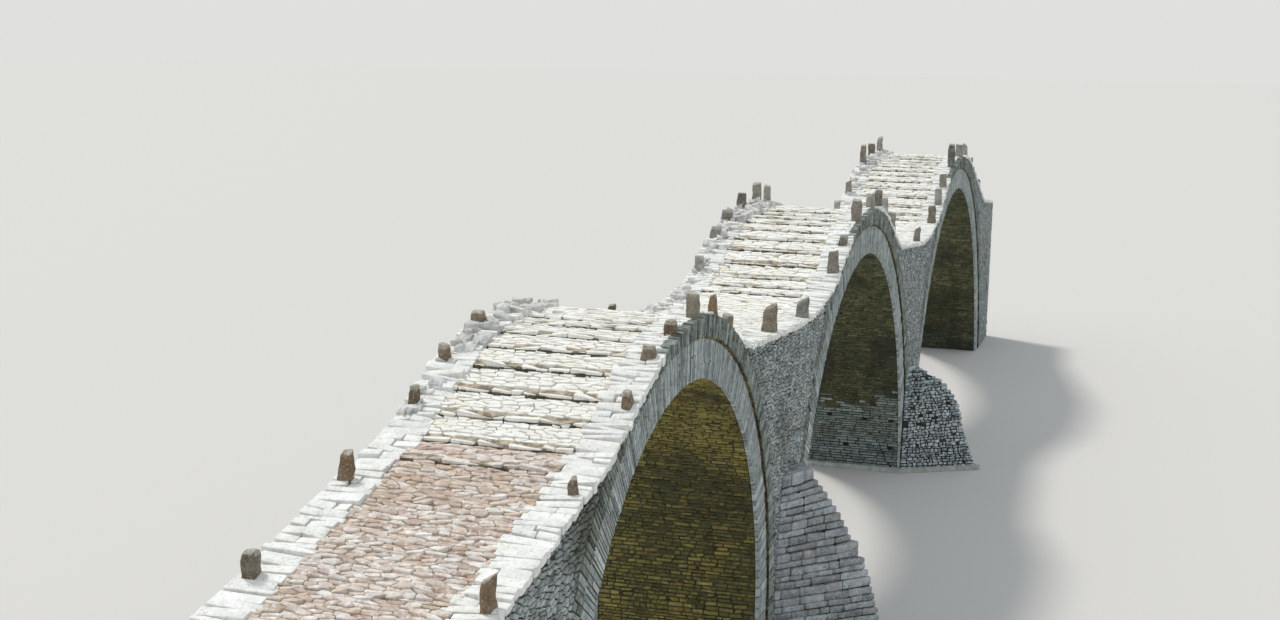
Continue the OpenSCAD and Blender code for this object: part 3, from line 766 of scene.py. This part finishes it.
for number, arch in ARCHES.items():
    rng = random.Random(len(number) + 20)
    inner = arch.inner
    high = Masonry("arch_%s_outer_ring_stones" % number, len(number))
    ring = Masonry("arch_%s_inner_ring_stones" % number, len(number) + 1)
    for side, thin in ((-1, 1), (1, 1.5)):
        stones = [(s, rng.uniform(.003, .013), .06, max(dampness(*s[0]), .25)*.7 + .3*rng.random()**2)
                  for s in voussoirs(arch, inner, arch.outer, (.020*thin, .042*thin), rng, .10, side)]
        high.lay(stones, on_face(side), side > 0, .003, "plain", .02)
        stones = [(s, rng.uniform(.003, .0055), .026, .35*rng.random()**2)
                  for s in voussoirs(arch, arch.r - .012, inner + .004, (.020*thin, .040*thin), rng, .2, side)]
        ring.lay(stones, on_face(side, RECESS), side > 0, .003, "plain", .008)
    high.build(outer_ring_finish, "wall_stone")
    ring.build(ring_finish, "wall_stone")

    # the underside of the outer ring, where the seepage runs out on the far haunches; its stain grows down the flank as
    # painted shadow
    ring_lip_seepage_and_shade = Masonry("arch_%s_ring_underside" % number, 90 + len(number))
    under_lip, stones = under_arch(arch, inner), []
    for s0, s1, v0, v1 in courses(-.25, foot_of(arch, inner) - .01, HALF_W - RECESS + .004, HALF_W + .004,
                                  (.05, .06), (.03, .07), rng, .01):
        outline = [(s0 + .001, v0), (s1 - .001, v0), (s1 - .001, v1), (s0 + .001, v1)]
        stones.append((outline, rng.uniform(.001, .009), .004, min(.7, .14 + .2*abs(s0))*rng.uniform(.4, 1.3)))
    ring_lip_seepage_and_shade.lay(stones, under_lip, flip=True, bevel=.002)
    ring_lip_seepage_and_shade.lay([([(u, -v) for u, v in o[::-1]], *rest) for o, *rest in stones], under_lip, flip=True, bevel=.002)
    # a thin dark band on the inner ring's face just under the overhang: painted shadow of the outer ring
    for side in (-1, 1):
        painted_shadow_band, s, low = [], -.30, .012
        while s < foot_of(arch, inner) - .03:
            step, last, low = rng.uniform(.018, .05), low, rng.uniform(.004, .020) + .006*min(1, abs(s))
            strip = [(s, inner - last), (s + step, inner - low), (s + step, inner + .003), (s, inner + .003)]
            painted_shadow_band.append((bent(arch, strip), rng.uniform(.007, .010), .012,
                         min(.8, .1 + .25*abs(s))*rng.uniform(.3, 1.3)))
            s += step
        ring_lip_seepage_and_shade.lay(painted_shadow_band, on_face(side, RECESS), side > 0, .002, "plain", .01)
    ring_lip_seepage_and_shade.build(seepage_and_shade_finish, "wall_stone")

# %% [markdown]
# ## The soffits
# Under an arch the stones lie in courses from face to face. Low under arch two
# they are larger, and on the near side of pier two they are grey, with square
# holes as for the beams of a centring. A hole is a gap in the facing with a flat
# near-black square at its bottom, painted shade that reads as a deep hole
# without cutting the solid.

# %% Soffit stones
BEAM_HOLES = [(.216, .772), (-.278, .756), (-.641, .758), (-.012, .346), (-.63, .33)]      # y and z of each
HOLE = .032                    # half the width of a beam hole
PIER_TOP = 1.05                # about here the stones grow larger, and grey on pier two

def around_hole(v0, v1, holes):
    """A stone's stretch along y, or what is left of it on both sides of a beam hole."""
    for y in holes:
        if v0 < y + HOLE and y - HOLE < v1:
            return [(a, b) for a, b in ((v0, y - HOLE), (y + HOLE, v1)) if b - a > .03]
    return [(v0, v1)]

def soffit_stones(arch, rng, grey, holes):
    """Stones of the vault and of the piers under it, as two lists: ochre ones and grey ones."""
    ochre, ashlar, foot, edge = [], [], foot_of(arch), HALF_W - RECESS - .028
    turn = (arch.z + arch.r - PIER_TOP)*.62 + .5*foot*.38
    zones = ((-foot, foot, ((.028, .046), (.05, .16)) if arch.r < 3 else ((.032, .052), (.07, .20))),)
    if grey:
        zones = ((-foot, -turn, ((.046, .074), (.09, .26))), (-turn, turn, ((.028, .044), (.06, .18))),
                 (turn, foot, ((.030, .046), (.08, .22))))
    for first, last, sizes in zones:
        for v0, v1, s0, s1 in courses(-edge, edge, first, last, *sizes, rng):
            x, z = map(float, bend(arch, .5*(s0 + s1), arch.r))
            low, high = (bend(arch, s, arch.r)[1] for s in (s1, s0))
            met = [hole_y for hole_y, hole_z in holes if x > arch.x and low < hole_z <= high]
            cloud = noise.noise(Vector((x*1.1, .5*(v0 + v1)*1.6, z*1.3 + arch.r)))
            for a, b in around_hole(v0, v1, met):
                shape = cell(s0, s1, a, b, rng, .0012, .0035, .012, .004, 9)
                if not shape:
                    continue
                depth = 1 - z/(arch.z + arch.r)
                if grey and x > arch.x and z < PIER_TOP + .35*cloud + rng.uniform(-.10, .10):
                    ashlar.append((shape, rng.uniform(.003, .012), .005, .2*rng.random() + .25*max(0, cloud)))
                else:
                    seep = min(.62, .12 + 1.1*depth)*rng.uniform(.5, 1.1) + .45*cloud
                    ochre.append((shape, rng.uniform(.001, .010), .005, max(0, seep)))
    return ochre, ashlar

for number, arch in ARCHES.items():
    under, grey = under_arch(arch, arch.r), number == "two"
    laid = soffit_stones(arch, random.Random(40 + len(number)), grey, BEAM_HOLES if grey else ())
    for label, stones, chosen in (("soffit", laid[0], soffit_finish if number == "one" else far_soffit_finish),
                                  ("pier", laid[1], pier_finish)):
        if stones:
            part = Masonry("arch_%s_%s_stones" % (number, label), 30 + len(number))
            part.lay(stones, under, flip=True, bevel=.005, shape="plain", tilt=.06)
            part.build(chosen, "soffit_stone")
    if grey:
        # a near-black square at the bottom of each beam hole: painted shade of its depth
        dark, back = Masonry("beam_holes_painted_shade", 39), []
        for y, z in BEAM_HOLES:
            s = arch.r*math.acos((z - arch.z)/arch.r)
            back.append(([(s + a, y + b) for a, b in ((-.027, -.027), (.027, -.027), (.027, .027), (-.027, .027))],
                         .001, .004, 0))
        dark.lay(back, under, flip=True, bevel=.001, shape="plain", tilt=0)
        dark.build(painted_hole_shade, "soffit_stone")

# %% [markdown]
# ## The paving
# The deck is a carpet of split stones in rows across the bridge, ground smooth
# by feet and hooves. On the slopes thin stones on edge form a rib at the foot
# of each tread, so that an animal can grip. The solids already hold the treads
# and the ribs, and the cobbles follow their tops. Below most ribs lie low dark
# lumps, partly soil against the foot of the rib and partly painted shade of the
# step, since that dark line is what shows a step from afar; they are a piece of
# their own.

# %% Cobbles and ribs
def knock(outline, rng):
    """Takes the sharper corners off an outline."""
    rounded = []
    for o, p, q in zip(outline[-1:] + outline[:-1], outline, outline[1:] + outline[:1]):
        before, after = math.dist(o, p), math.dist(p, q)
        turn = ((p[0] - o[0])*(q[0] - p[0]) + (p[1] - o[1])*(q[1] - p[1]))/(before*after)
        if turn > .62:
            rounded.append(p)
            continue
        c = rng.uniform(.003, .009)
        s, t = min(c/before, .3), min(c/after, .3)
        rounded += [(p[0] + (o[0] - p[0])*s, p[1] + (o[1] - p[1])*s), (p[0] + (q[0] - p[0])*t, p[1] + (q[1] - p[1])*t)]
    return rounded

slab_list = [(deck_x[i], deck_x[i + 1], deck_line[i], deck_line[i + 1],
              deck_line[i] - core_line[i] - .06, deck_line[i + 1] - core_line[i + 1] - .06)
             for i in range(0, len(deck_x) - 1, 2)]
INNER = HALF_W - KERB_W        # from the middle to the edge stones
RAMP_TOP = -10.9               # where the near ramp meets the first flight
# from this x on, the cobbles' size along the bridge and across it
COBBLE_SIZES = (8.6, (.046, .070), (.09, .22)), (-5, (.040, .060), (.08, .19)), (-99, (.029, .045), (.06, .15))

def on_slab(x0, x1, z0, z1):
    def place(u, v, h):
        return np.stack([u, v, z0 + (z1 - z0)*(u - x0)/(x1 - x0) + h], 1)
    return place

def cobbles(x0, x1, depth, length, rng):
    """Stones of no fixed shape from x0 to x1, longer across the bridge."""
    worn = x0 > RAMP_TOP           # feet have ground the flights flat, and the ramp has kept its bumps
    bump, gap = (.010, (.0004, .0020)) if worn else (.017, (.001, .0042))
    return [(shape if worn else knock(shape, rng), rng.uniform(.002, bump) + .006*(rng.random() < .12), .006)
            for shape in scattered(x0, x1, -INNER, INNER, depth, length, rng, gap=gap)]

def paved(name, slabs, seed):
    rng = random.Random(seed)
    piece = Masonry(name, seed)
    for x0, x1, z0, z1, rib0, rib1 in slabs:
        flight = max(rib0, rib1) > .02
        start, end = x0, x1
        if flight:
            low, at = (x0, z0) if rib0 > rib1 else (x1, z1)
            inward = 1 if rib0 > rib1 else -1
            v, row = -INNER, []
            while v < INNER - .03:
                stop = min(v + rng.uniform(.08, .26), INNER)
                a, b = sorted((low - inward*rng.uniform(.006, .022), low + inward*rng.uniform(.030, .060)))
                row.append((cell(a, b, v, stop, rng, .001, .004, .024, .010), rng.uniform(-.004, .010), .018,
                            .2*rng.random()))
                v = stop
            piece.lay(row, on_slab(0, 1, at, at), bevel=.005, shape="slab", tilt=.08)
            # dark lumps at the foot of the rib: soil, and painted shade of the step
            foot, drop, v = low - inward*.020, at - max(rib0, rib1), -INNER
            while v < INNER - .03:
                stop = min(v + rng.uniform(.05, .18), INNER)
                a, b = sorted((foot + inward*rng.uniform(-.014, .008), low + inward*.012))
                if rng.random() < .75:
                    SOIL_AND_STEP_SHADE.append((a, b, v, stop, drop))
                v = stop
            start, end = (x0 + .046, x1) if inward > 0 else (x0, x1 - .046)
        size = next(size for start_x, *size in COBBLE_SIZES if x0 > start_x)
        brown = .22*max(0, 1 - abs(.5*(x0 + x1) + 11.2)/.7)
        stones = [(s, p, d, brown + .12*(abs(s[0][1]) > INNER - .14) + .4*rng.random()**2) for s, p, d in
                  cobbles(start, end, *size, rng)]
        shape, tilt = ("plain", .05) if x0 > RAMP_TOP else ("block", .10)
        piece.lay(stones, on_slab(x0, x1, z0, z1), bevel=.0035, shape=shape, tilt=tilt)
    return piece

print("slabs", len(slab_list), "with a rib", sum(max(slab[4:]) > .02 for slab in slab_list))

# %% Lay the paving
SOIL_AND_STEP_SHADE = []
first_middle, first_far = corners("paving_middle")[:, 0].min() - .001, corners("paving_far")[:, 0].min() - .001
for label, low, high, seed in (("near", -99, first_middle, 51), ("middle", first_middle, first_far, 52),
                               ("far", first_far, 99, 53)):
    chosen = [s for s in slab_list if low < s[0] < high]
    if label == "near":
        ramp_slabs = [s for s in chosen if s[0] < RAMP_TOP]
        paved("paving_stones_ramp", ramp_slabs, 50).build(paving_finish, "pale_stone")
        chosen = chosen[len(ramp_slabs):]
    paved("paving_stones_" + label, chosen, seed).build(tread_finish, "pale_stone")

# the lumps below the ribs: soil, and painted shade of the steps
soil_and_step_shade, rng = Masonry("soil_and_painted_shade_at_ribs", 54), random.Random(54)
for a, b, v0, v1, level in SOIL_AND_STEP_SHADE:
    soil_and_step_shade.lay([(cell(a, b, v0, v1, rng, 0, .003, .02, .01, 9), rng.uniform(.010, .017), .01, 0)],
              on_slab(0, 1, level, level), bevel=.006, shape="plain")
soil_and_step_shade.build(soil_and_step_shade_finish, "pale_stone")

# %% [markdown]
# ## The edge stones
# Long slabs lie across the top of each wall like the keys of a piano and tie
# the paving to the face. On the flights they are rougher and piled higher, as a
# low kerb, and loose rubble lies along the back one. They are whole stones, so
# they take the place of their solids. The rubble is a piece of its own, with more
# tilt and a darker finish.

# %% Edge stones
def edge_stones(rng, side):
    stones, rough, x = [], [], NEAR_END
    while x < FAR_END - .03:
        rise = kerb_z(x, side) - deck_z(x)
        piled, flight = side > 0 and rise > .030, rise > .018
        end = min(x + (rng.uniform(.06, .15) if piled else rng.uniform(.028, .070)*(1.5 if x < -10.5 else 1)), FAR_END)
        face = .052 if at_crown(.5*(x + end), side) else -.020
        spans = [(face + rng.uniform(-.010, .012), KERB_W + rng.uniform(-.004, .060))]
        if piled or rng.random() < (.7 if flight else .2):
            cutting = rng.uniform(.09, .17)
            spans = [(spans[0][0], cutting), (cutting, spans[0][1])]
        for d0, d1 in spans:
            if flight:             # a lower layer that fills up to the slabs
                under = cell(x, end, max(d0, .066), d1 + .01, rng, .001, .006, .016, .010)
                stones.append((under, -SLAB + rng.uniform(-.006, .004), kerb_z(x, side) - SLAB - core_z(x) + .03,
                               .3*rng.random()))
            lift = rng.uniform(-.030, .060)*min(1, rise/.05) if piled else rng.uniform(-.006, .012)
            shape = cell(x, end, d0, d1, rng, .007 if piled else .001, .008, .040 if piled else .014, .014)
            if not piled or rng.random() > .10:
                (rough if piled else stones).append((shape, lift, SLAB + max(lift, 0) + .004, .2*rng.random()))
        climbing = kerb_z(x + .2, side) > kerb_z(x - .2, side) + .02
        share = .95 if piled else .8 if climbing else .25
        for layer in range(2):         # loose rubble on the back edge
            if side > 0 and flight and x > -10.75 and rng.random() < share:
                inner, size = rng.uniform(.0, .12), rng.uniform(.045, .11)
                lump = cell(x, x + size, inner, inner + size*rng.uniform(.7, 1.4), rng, .001, .01, .04, .03)
                rough.append((lump, rng.uniform(.01, .035) + .025*layer*rng.random(), .08, .3*rng.random()))
        x = end
    return stones, rough

for label, side, seed in (("front", -1, 61), ("back", 1, 62)):
    def on_edge(u, v, h, side=side):
        return np.stack([u, side*(HALF_W - v), np.interp(u, KERBS[side][0], KERBS[side][2]) + h], 1)
    edge = Masonry("edge_stones_" + label, seed)
    slabs, rough = edge_stones(random.Random(seed), side)
    edge.lay(slabs, on_edge, flip=side > 0, bevel=.0035, shape="slab", tilt=.07)
    if rough:
        pile = Masonry("edge_rubble_" + label, seed + 5)
        pile.lay(rough, on_edge, flip=side > 0, bevel=.006, shape="slab", tilt=.26)
        pile.build(pile_finish, "pale_stone")
    edge.build(kerb_finish, "pale_stone", *["kerb_%s_%s" % (label, s) for s in STRETCHES])

# %% [markdown]
# ## The guard stones
# Upright blocks stand along both edges in place of a rail. Each is one big
# stone, so it gets more points than a wall stone: a block of small faces,
# narrowed to its top, rounded at its arrises and pushed about by noise. Their
# places, heights and leaning tops come from the solids that they replace, and a
# short table makes some of them taller, lower, wider or greyer.

# %% Guard stones
def guard_boxes(node):
    """The bottom and top corners in x and z of each stone of a node, and its y range."""
    points = corners(node)
    points = points[np.argsort(points[:, 0])]
    groups, start = [], 0
    for k in range(1, len(points) + 1):
        if k == len(points) or points[k, 0] - points[k - 1, 0] > .22:
            groups.append(points[start:k])
            start = k
    boxes = []
    for g in groups:
        top = g[g[:, 2] > .5*(g[:, 2].min() + g[:, 2].max())]
        left, right = top[np.argmin(top[:, 0])], top[np.argmax(top[:, 0])]
        x0, x1 = g[:, 0].min(), g[:, 0].max()
        z0, z1 = g[abs(g[:, 0] - x0) < 1e-4, 2].min(), g[abs(g[:, 0] - x1) < 1e-4, 2].min()
        boxes.append(((x0, z0), (x1, z1), (right[0], right[2]), (left[0], left[2]), g[:, 1].min(), g[:, 1].max()))
    return boxes

def guard_block(corners_xz, y0, y1, seed, cuts=5):
    """Points and faces of one upright stone."""
    (ax, az), (bx, bz), (cx, cz), (dx, dz) = corners_xz
    az, bz = az - .07, bz - .07
    rng = random.Random(seed)
    tall, pointed = max(cz, dz) - max(az, bz) - .07, rng.random() < .15
    way = rng.choice((-1, 1, 1))
    slant = way*tall*(rng.uniform(.2, .35) if tall > .14 and rng.random() < .4 else rng.uniform(0, .10))
    wide = .5*(y1 - y0)*(rng.uniform(-.1, .4) if ax < -5 else rng.uniform(.3, .75))
    y0, y1 = y0 - wide, y1 + wide
    points, faces, index = [], [], {}
    def point(i, j, k):
        if (i, j, k) not in index:
            a, b, c = i/cuts*2 - 1, j/cuts*2 - 1, k/(cuts + 3)*2 - 1
            pull = 1 - .10*(abs(a)**5*abs(b)**5) - .05*max(0, c)**6*(a*a + b*b)
            u, v, w = .5 + .5*a*pull, .5 + .5*b*pull, .5 + .5*c
            lowx, lowz = ax + (bx - ax)*u, az + (bz - az)*u
            topx, topz = dx + (cx - dx)*u, dz + (cz - dz)*u
            x, z = lowx + (topx - lowx)*w, lowz + (topz - lowz)*w
            y = y0 + (y1 - y0)*v + (.5 - v)*.02*w
            z -= abs(slant)*(v if slant > 0 else 1 - v)*w**3
            if pointed:
                z -= .30*(z - az)*max(0, w - .75)*abs(a)
            p = Vector((x, y, z))
            rough = noise.noise(p*9 + Vector((seed, 0, 0)))*.012 + noise.noise(p*27)*.005
            points.append((x + a*rough, y + b*rough, z + max(c, 0)**3*rough))
            index[i, j, k] = len(points) - 1
        return index[i, j, k]
    def quad(*places):
        faces.append([point(*place) for place in places])
    n, high = cuts, cuts + 3
    for i in range(n):
        for j in range(n):
            quad((i, j, 0), (i, j + 1, 0), (i + 1, j + 1, 0), (i + 1, j, 0))
            quad((i, j, high), (i + 1, j, high), (i + 1, j + 1, high), (i, j + 1, high))
        for k in range(high):
            quad((i, 0, k), (i + 1, 0, k), (i + 1, 0, k + 1), (i, 0, k + 1))
            quad((i, n, k), (i, n, k + 1), (i + 1, n, k + 1), (i + 1, n, k))
            quad((0, i, k), (0, i, k + 1), (0, i + 1, k + 1), (0, i + 1, k))
            quad((n, i, k), (n, i + 1, k), (n, i + 1, k + 1), (n, i, k + 1))
    edge = [1.0 if p[2] > max(cz, dz) - .03 else .35 for p in points]
    return points, faces, edge

GUARDS = ("front_near", "front_far", "back_near", "back_far")
print("guard stones", {place: len(guard_boxes("guards_" + place)) for place in GUARDS})

# %% Place the guard stones
# by node and number along it: how much taller than the solid, then which ones are paler and which are wider
TALLER = {"front_near": {1: -.05, 3: -.03, 4: -.03, 5: .045, 6: .065, 7: .025, 8: .03},
          "front_far": {4: .045, 5: .06, 6: .10, 7: .08}}
PALE, WIDE = {"front_near": (7, 8)}, {"front_near": (3, 8)}

for place in GUARDS:
    node = "guards_" + place
    piece = Masonry("guard_stones_" + place, 7)
    for k, (a, b, c, d, y0, y1) in enumerate(guard_boxes(node)):
        grown = TALLER.get(place, {}).get(k, 0)
        c, d = (c[0], c[1] + grown), (d[0], d[1] + grown)
        y1 += .035 if k in WIDE.get(place, ()) else 0
        points, faces, edge = guard_block((a, b, c, d), y0, y1, 100*len(node) + k)
        own = random.Random(k + len(node))
        tone, warm = own.random(), own.random()
        if k in PALE.get(place, ()):
            tone, warm = max(tone, .75), 0
        piece.add(np.array(points), faces, np.array([(tone, warm, 0, e) for e in edge]))
    piece.build(near_guard_finish if "near" in place else guard_finish, "guard_stone", node)

# %% [markdown]
# ## The cutwaters
# On both faces of both piers stands a pointed cutwater. It is built in courses
# that step back, and each nose stone juts out a little differently, which gives
# the jagged edge. The stones are laid out in plan, as
# a mason sets them out, since a wedge of less than a right angle can't be
# dressed from its two faces without the stones breaking through each other.

# %% Cutwater stones
def course_plan(half, reach, ledge, length, rng, rubble=0.0):
    """Outlines of one course in plan: x from the centre, y outward negative, the wall at 0."""
    jut = rng.uniform(-.016, -.004)*(1 - rubble) + rubble*rng.uniform(-.004, .014)
    if reach < .17:                # so short that one stone spans it
        return [[(-half - .005, .01), (0, -reach - .012 - jut), (half + .005, .01)]]
    slant = math.hypot(half, reach)
    ux, uy = half/slant, reach/slant
    def flank(at, push):
        """A point of the right flank, at a distance from the nose and pushed out."""
        return ux*at + uy*push, -reach + uy*at - ux*push
    right, left = (min(slant*.8, rng.uniform(*length)) for side in (1, -1))
    out = .008
    (lx, ly), (rx, ry) = flank(left, out), flank(right, out)
    outlines = [[(0, -reach - out - jut), (rx, ry), (0, min(-reach + max(right, left)*uy + .05, .0)), (-lx, ly)]]
    for side, at in ((1, right), (-1, left)):
        while at < slant - .02:
            end = min(at + rng.uniform(*length), slant)
            if slant - end < .05:
                end = slant
            push = rng.uniform(.002, .014) + rng.uniform(-.008, .006)*rubble + .014*(1 - rubble)*at/slant
            deep = ledge + rng.uniform(.035, .06)
            gap = rng.uniform(.002, .005) + rng.uniform(.001, .012)*rubble
            a, b = at + gap, end - gap*.5
            c = min(.012, .2*(b - a))
            stone = [flank(*p) for p in ((a + .8*c, push), (b - .8*c, push), (b, push - .7*c), (b, -deep),
                                         (a, -deep), (a, push - .7*c))]
            if side < 0:
                stone = [(-x, y) for x, y in stone[::-1]]
            stone = cut(stone, 0, 1, .006)
            if stone and rng.random() > .02*rubble:
                outlines.append(stone)
            at = end
    return outlines

print("a course of", len(course_plan(.5, .6, .02, (.09, .30), random.Random(1))), "stones")

# %% Lay the cutwaters
# pier one's is of long blocks in courses that rise to the nose, and pier two's of small rubble
for number, height, length, rubble, lean in (("one", (.048, .080), (.09, .30), 0.0, .17),
                                             ("two", (.026, .050), (.03, .10), 1.0, .03)):
    centre, rows, body_top = CUTWATERS[number]
    for label, side in (("front", -1), ("back", 1)):
        rng = random.Random(len(number)*10 + side)
        z0, parts = (.04 if number == "two" else .0), []
        for part in ("cutwater", "cap"):
            piece = Masonry("%s_%s_%s_stones" % (part, number, label), 71 + len(part))
            end = body_top if part == "cutwater" else rows[-1][3]
            while z0 < end - .012:
                z1 = z0 + rng.uniform(*height)
                z1 = end if end - z1 < .8*height[0] or (part == "cap" and end - z0 < (.05 if rubble else .15)) else z1
                half, reach = row_at(rows, z0 + .004)[:2]
                above = row_at(rows, z1 + .004)
                ledge = reach - above[1] if above else 0
                stones = [(o, rng.uniform(.000, .004) - .008*rubble*rng.random(), z1 - z0 - rng.uniform(.002, .008), 0)
                          for o in course_plan(half, reach, ledge, length, rng, rubble)]
                tip = lean*(.3 + .7*z0/rows[-1][3])*min(1, z0/.25)
                if not above:      # the lid of the cap
                    stones.append(([(-half*.9, .004), (0, -reach*.93), (half*.9, .004)], -.004, .03, 0))
                def in_course(u, v, h, side=side, z1=z1, reach=reach, tip=tip):
                    z = z1 + h
                    sway = (.003 + .007*rubble)*(np.sin(11*u + 5*z + 9*v) + .6*np.sin(27*u - 13*z - 8*v))
                    return np.stack([centre + u, side*(HALF_W - v), z + tip*(-v - .4*reach) + sway*min(1, z1/.3)], 1)
                piece.lay(stones, in_course, flip=side > 0, bevel=.009, shape="slab", tilt=.035 + .10*rubble)
                z0 = z1
            hidden = ["cap_one_" + label] if part == "cap" and number == "one" else []
            piece.build(rubble_finish if rubble else cutwater_finish, "cutwater_stone", *hidden)

# %% [markdown]
# ## The two ends
# The ends are plain coursed faces under a row of deck stones. The part may stand
# alone, so they are finished like the walls.

# %% End stones
for label, x, out, seed in (("near", NEAR_END, -1, 81), ("far", FAR_END, 1, 82)):
    rng = random.Random(seed)
    def on_end(u, v, h, x=x, out=out):
        return np.stack([x + out*h, u, v], 1)
    top = core_z(x) - .002
    stones = [(cell(*c, rng, .0012, .004), rng.uniform(.008, .015), .008, .3*rng.random())
              for c in courses(-HALF_W - .005, HALF_W + .005, .002, top, (.05, .09), (.09, .26), rng)]
    rim = Masonry("deck_end_" + label, seed + 4)
    rim.lay([(cell(*c, rng, .001, .003), rng.uniform(.002, .006), .005, .3*rng.random())
             for c in courses(.004 - HALF_W, HALF_W - .004, top + .001, deck_z(x) - .004, (.08, .08), (.10, .24), rng)],
            on_end, flip=out < 0, bevel=.003, shape="plain", tilt=.01)
    rim.build(paving_finish if out < 0 else tread_finish, "pale_stone")
    piece = Masonry("end_stones_" + label, seed)
    piece.lay(stones, on_end, flip=out < 0, shape="plain", tilt=.02)
    piece.build(wall_finish, "wall_stone")
print("triangles in all", sum(totals), "largest piece", max(totals))

# %% [markdown]
# ## Floor, light and camera
# The part stands on a plain pale floor under a soft studio light. The key comes
# from above and behind the front face, as the sun does on this bridge, so the
# deck is bright and the arches lie in soft shade. The levels are set so that the
# palest stones don't clip.

# %% Floor and light
REACH = 300.0
floor_mesh = bpy.data.meshes.new("floor")
floor_mesh.from_pydata([(x*REACH, y*REACH, -.004) for x, y in ((-1, -1), (1, -1), (1, 1), (-1, 1))], [], [(0, 1, 2, 3)])
floor = new_object("floor", floor_mesh)
pale, _, shader = new_material("pale_floor", .9)
shader["Base Color"].default_value = (.66, .64, .62, 1)
floor_mesh.materials.append(pale)

world = bpy.data.worlds.new("studio")
bpy.context.scene.world = world
world.use_nodes = True
tree = world.node_tree
backdrop = tree.nodes["Background"]
backdrop.inputs["Color"].default_value = (.90, .97, 1.01, 1)
backdrop.inputs["Strength"].default_value = .65
seen = tree.nodes.new("ShaderNodeBackground")
seen.inputs["Color"].default_value = (.745, .745, .735, 1)
ray = tree.nodes.new("ShaderNodeLightPath")
switch = tree.nodes.new("ShaderNodeMixShader")
tree.links.new(ray.outputs["Is Camera Ray"], switch.inputs[0])
tree.links.new(backdrop.outputs[0], switch.inputs[1])
tree.links.new(seen.outputs[0], switch.inputs[2])
tree.links.new(switch.outputs[0], tree.nodes["World Output"].inputs["Surface"])

sun = new_object("key", bpy.data.lights.new("key", "SUN"))
sun.data.energy = 1.92
sun.data.angle = math.radians(9)
sun.data.color = (1, .966, .905)
sun.rotation_euler = Vector((-.30, -.55, -.95)).to_track_quat("-Z", "Y").to_euler()
bpy.context.scene.view_settings.view_transform = "Standard"
print("floor", 2*REACH, "m wide, key", round(sun.data.energy, 2))

# %% [markdown]
# The camera's place, turn and lens were solved from the arches and deck edges
# of the photograph, so that a render can be laid over it. It is turned by a
# matrix of its right, up and backward directions.

# %% Camera
lens = bpy.data.cameras.new("view")
lens.sensor_width, lens.lens = 36, 46.43
lens.clip_end = 800
camera = new_object("view", lens)
right, up = Vector((.29868, -.95420, .01670)), Vector((.14806, .06361, .98693))
back = -Vector((.94280, .29231, -.16028))
turn = Matrix((right, up, back)).transposed().to_4x4()
turn.translation = (-20.154, -3.902, 5.851)
camera.matrix_world = turn
bpy.context.scene.camera = camera
print("camera at", [round(v, 2) for v in turn.translation], "with a lens of", round(lens.lens, 2), "mm")
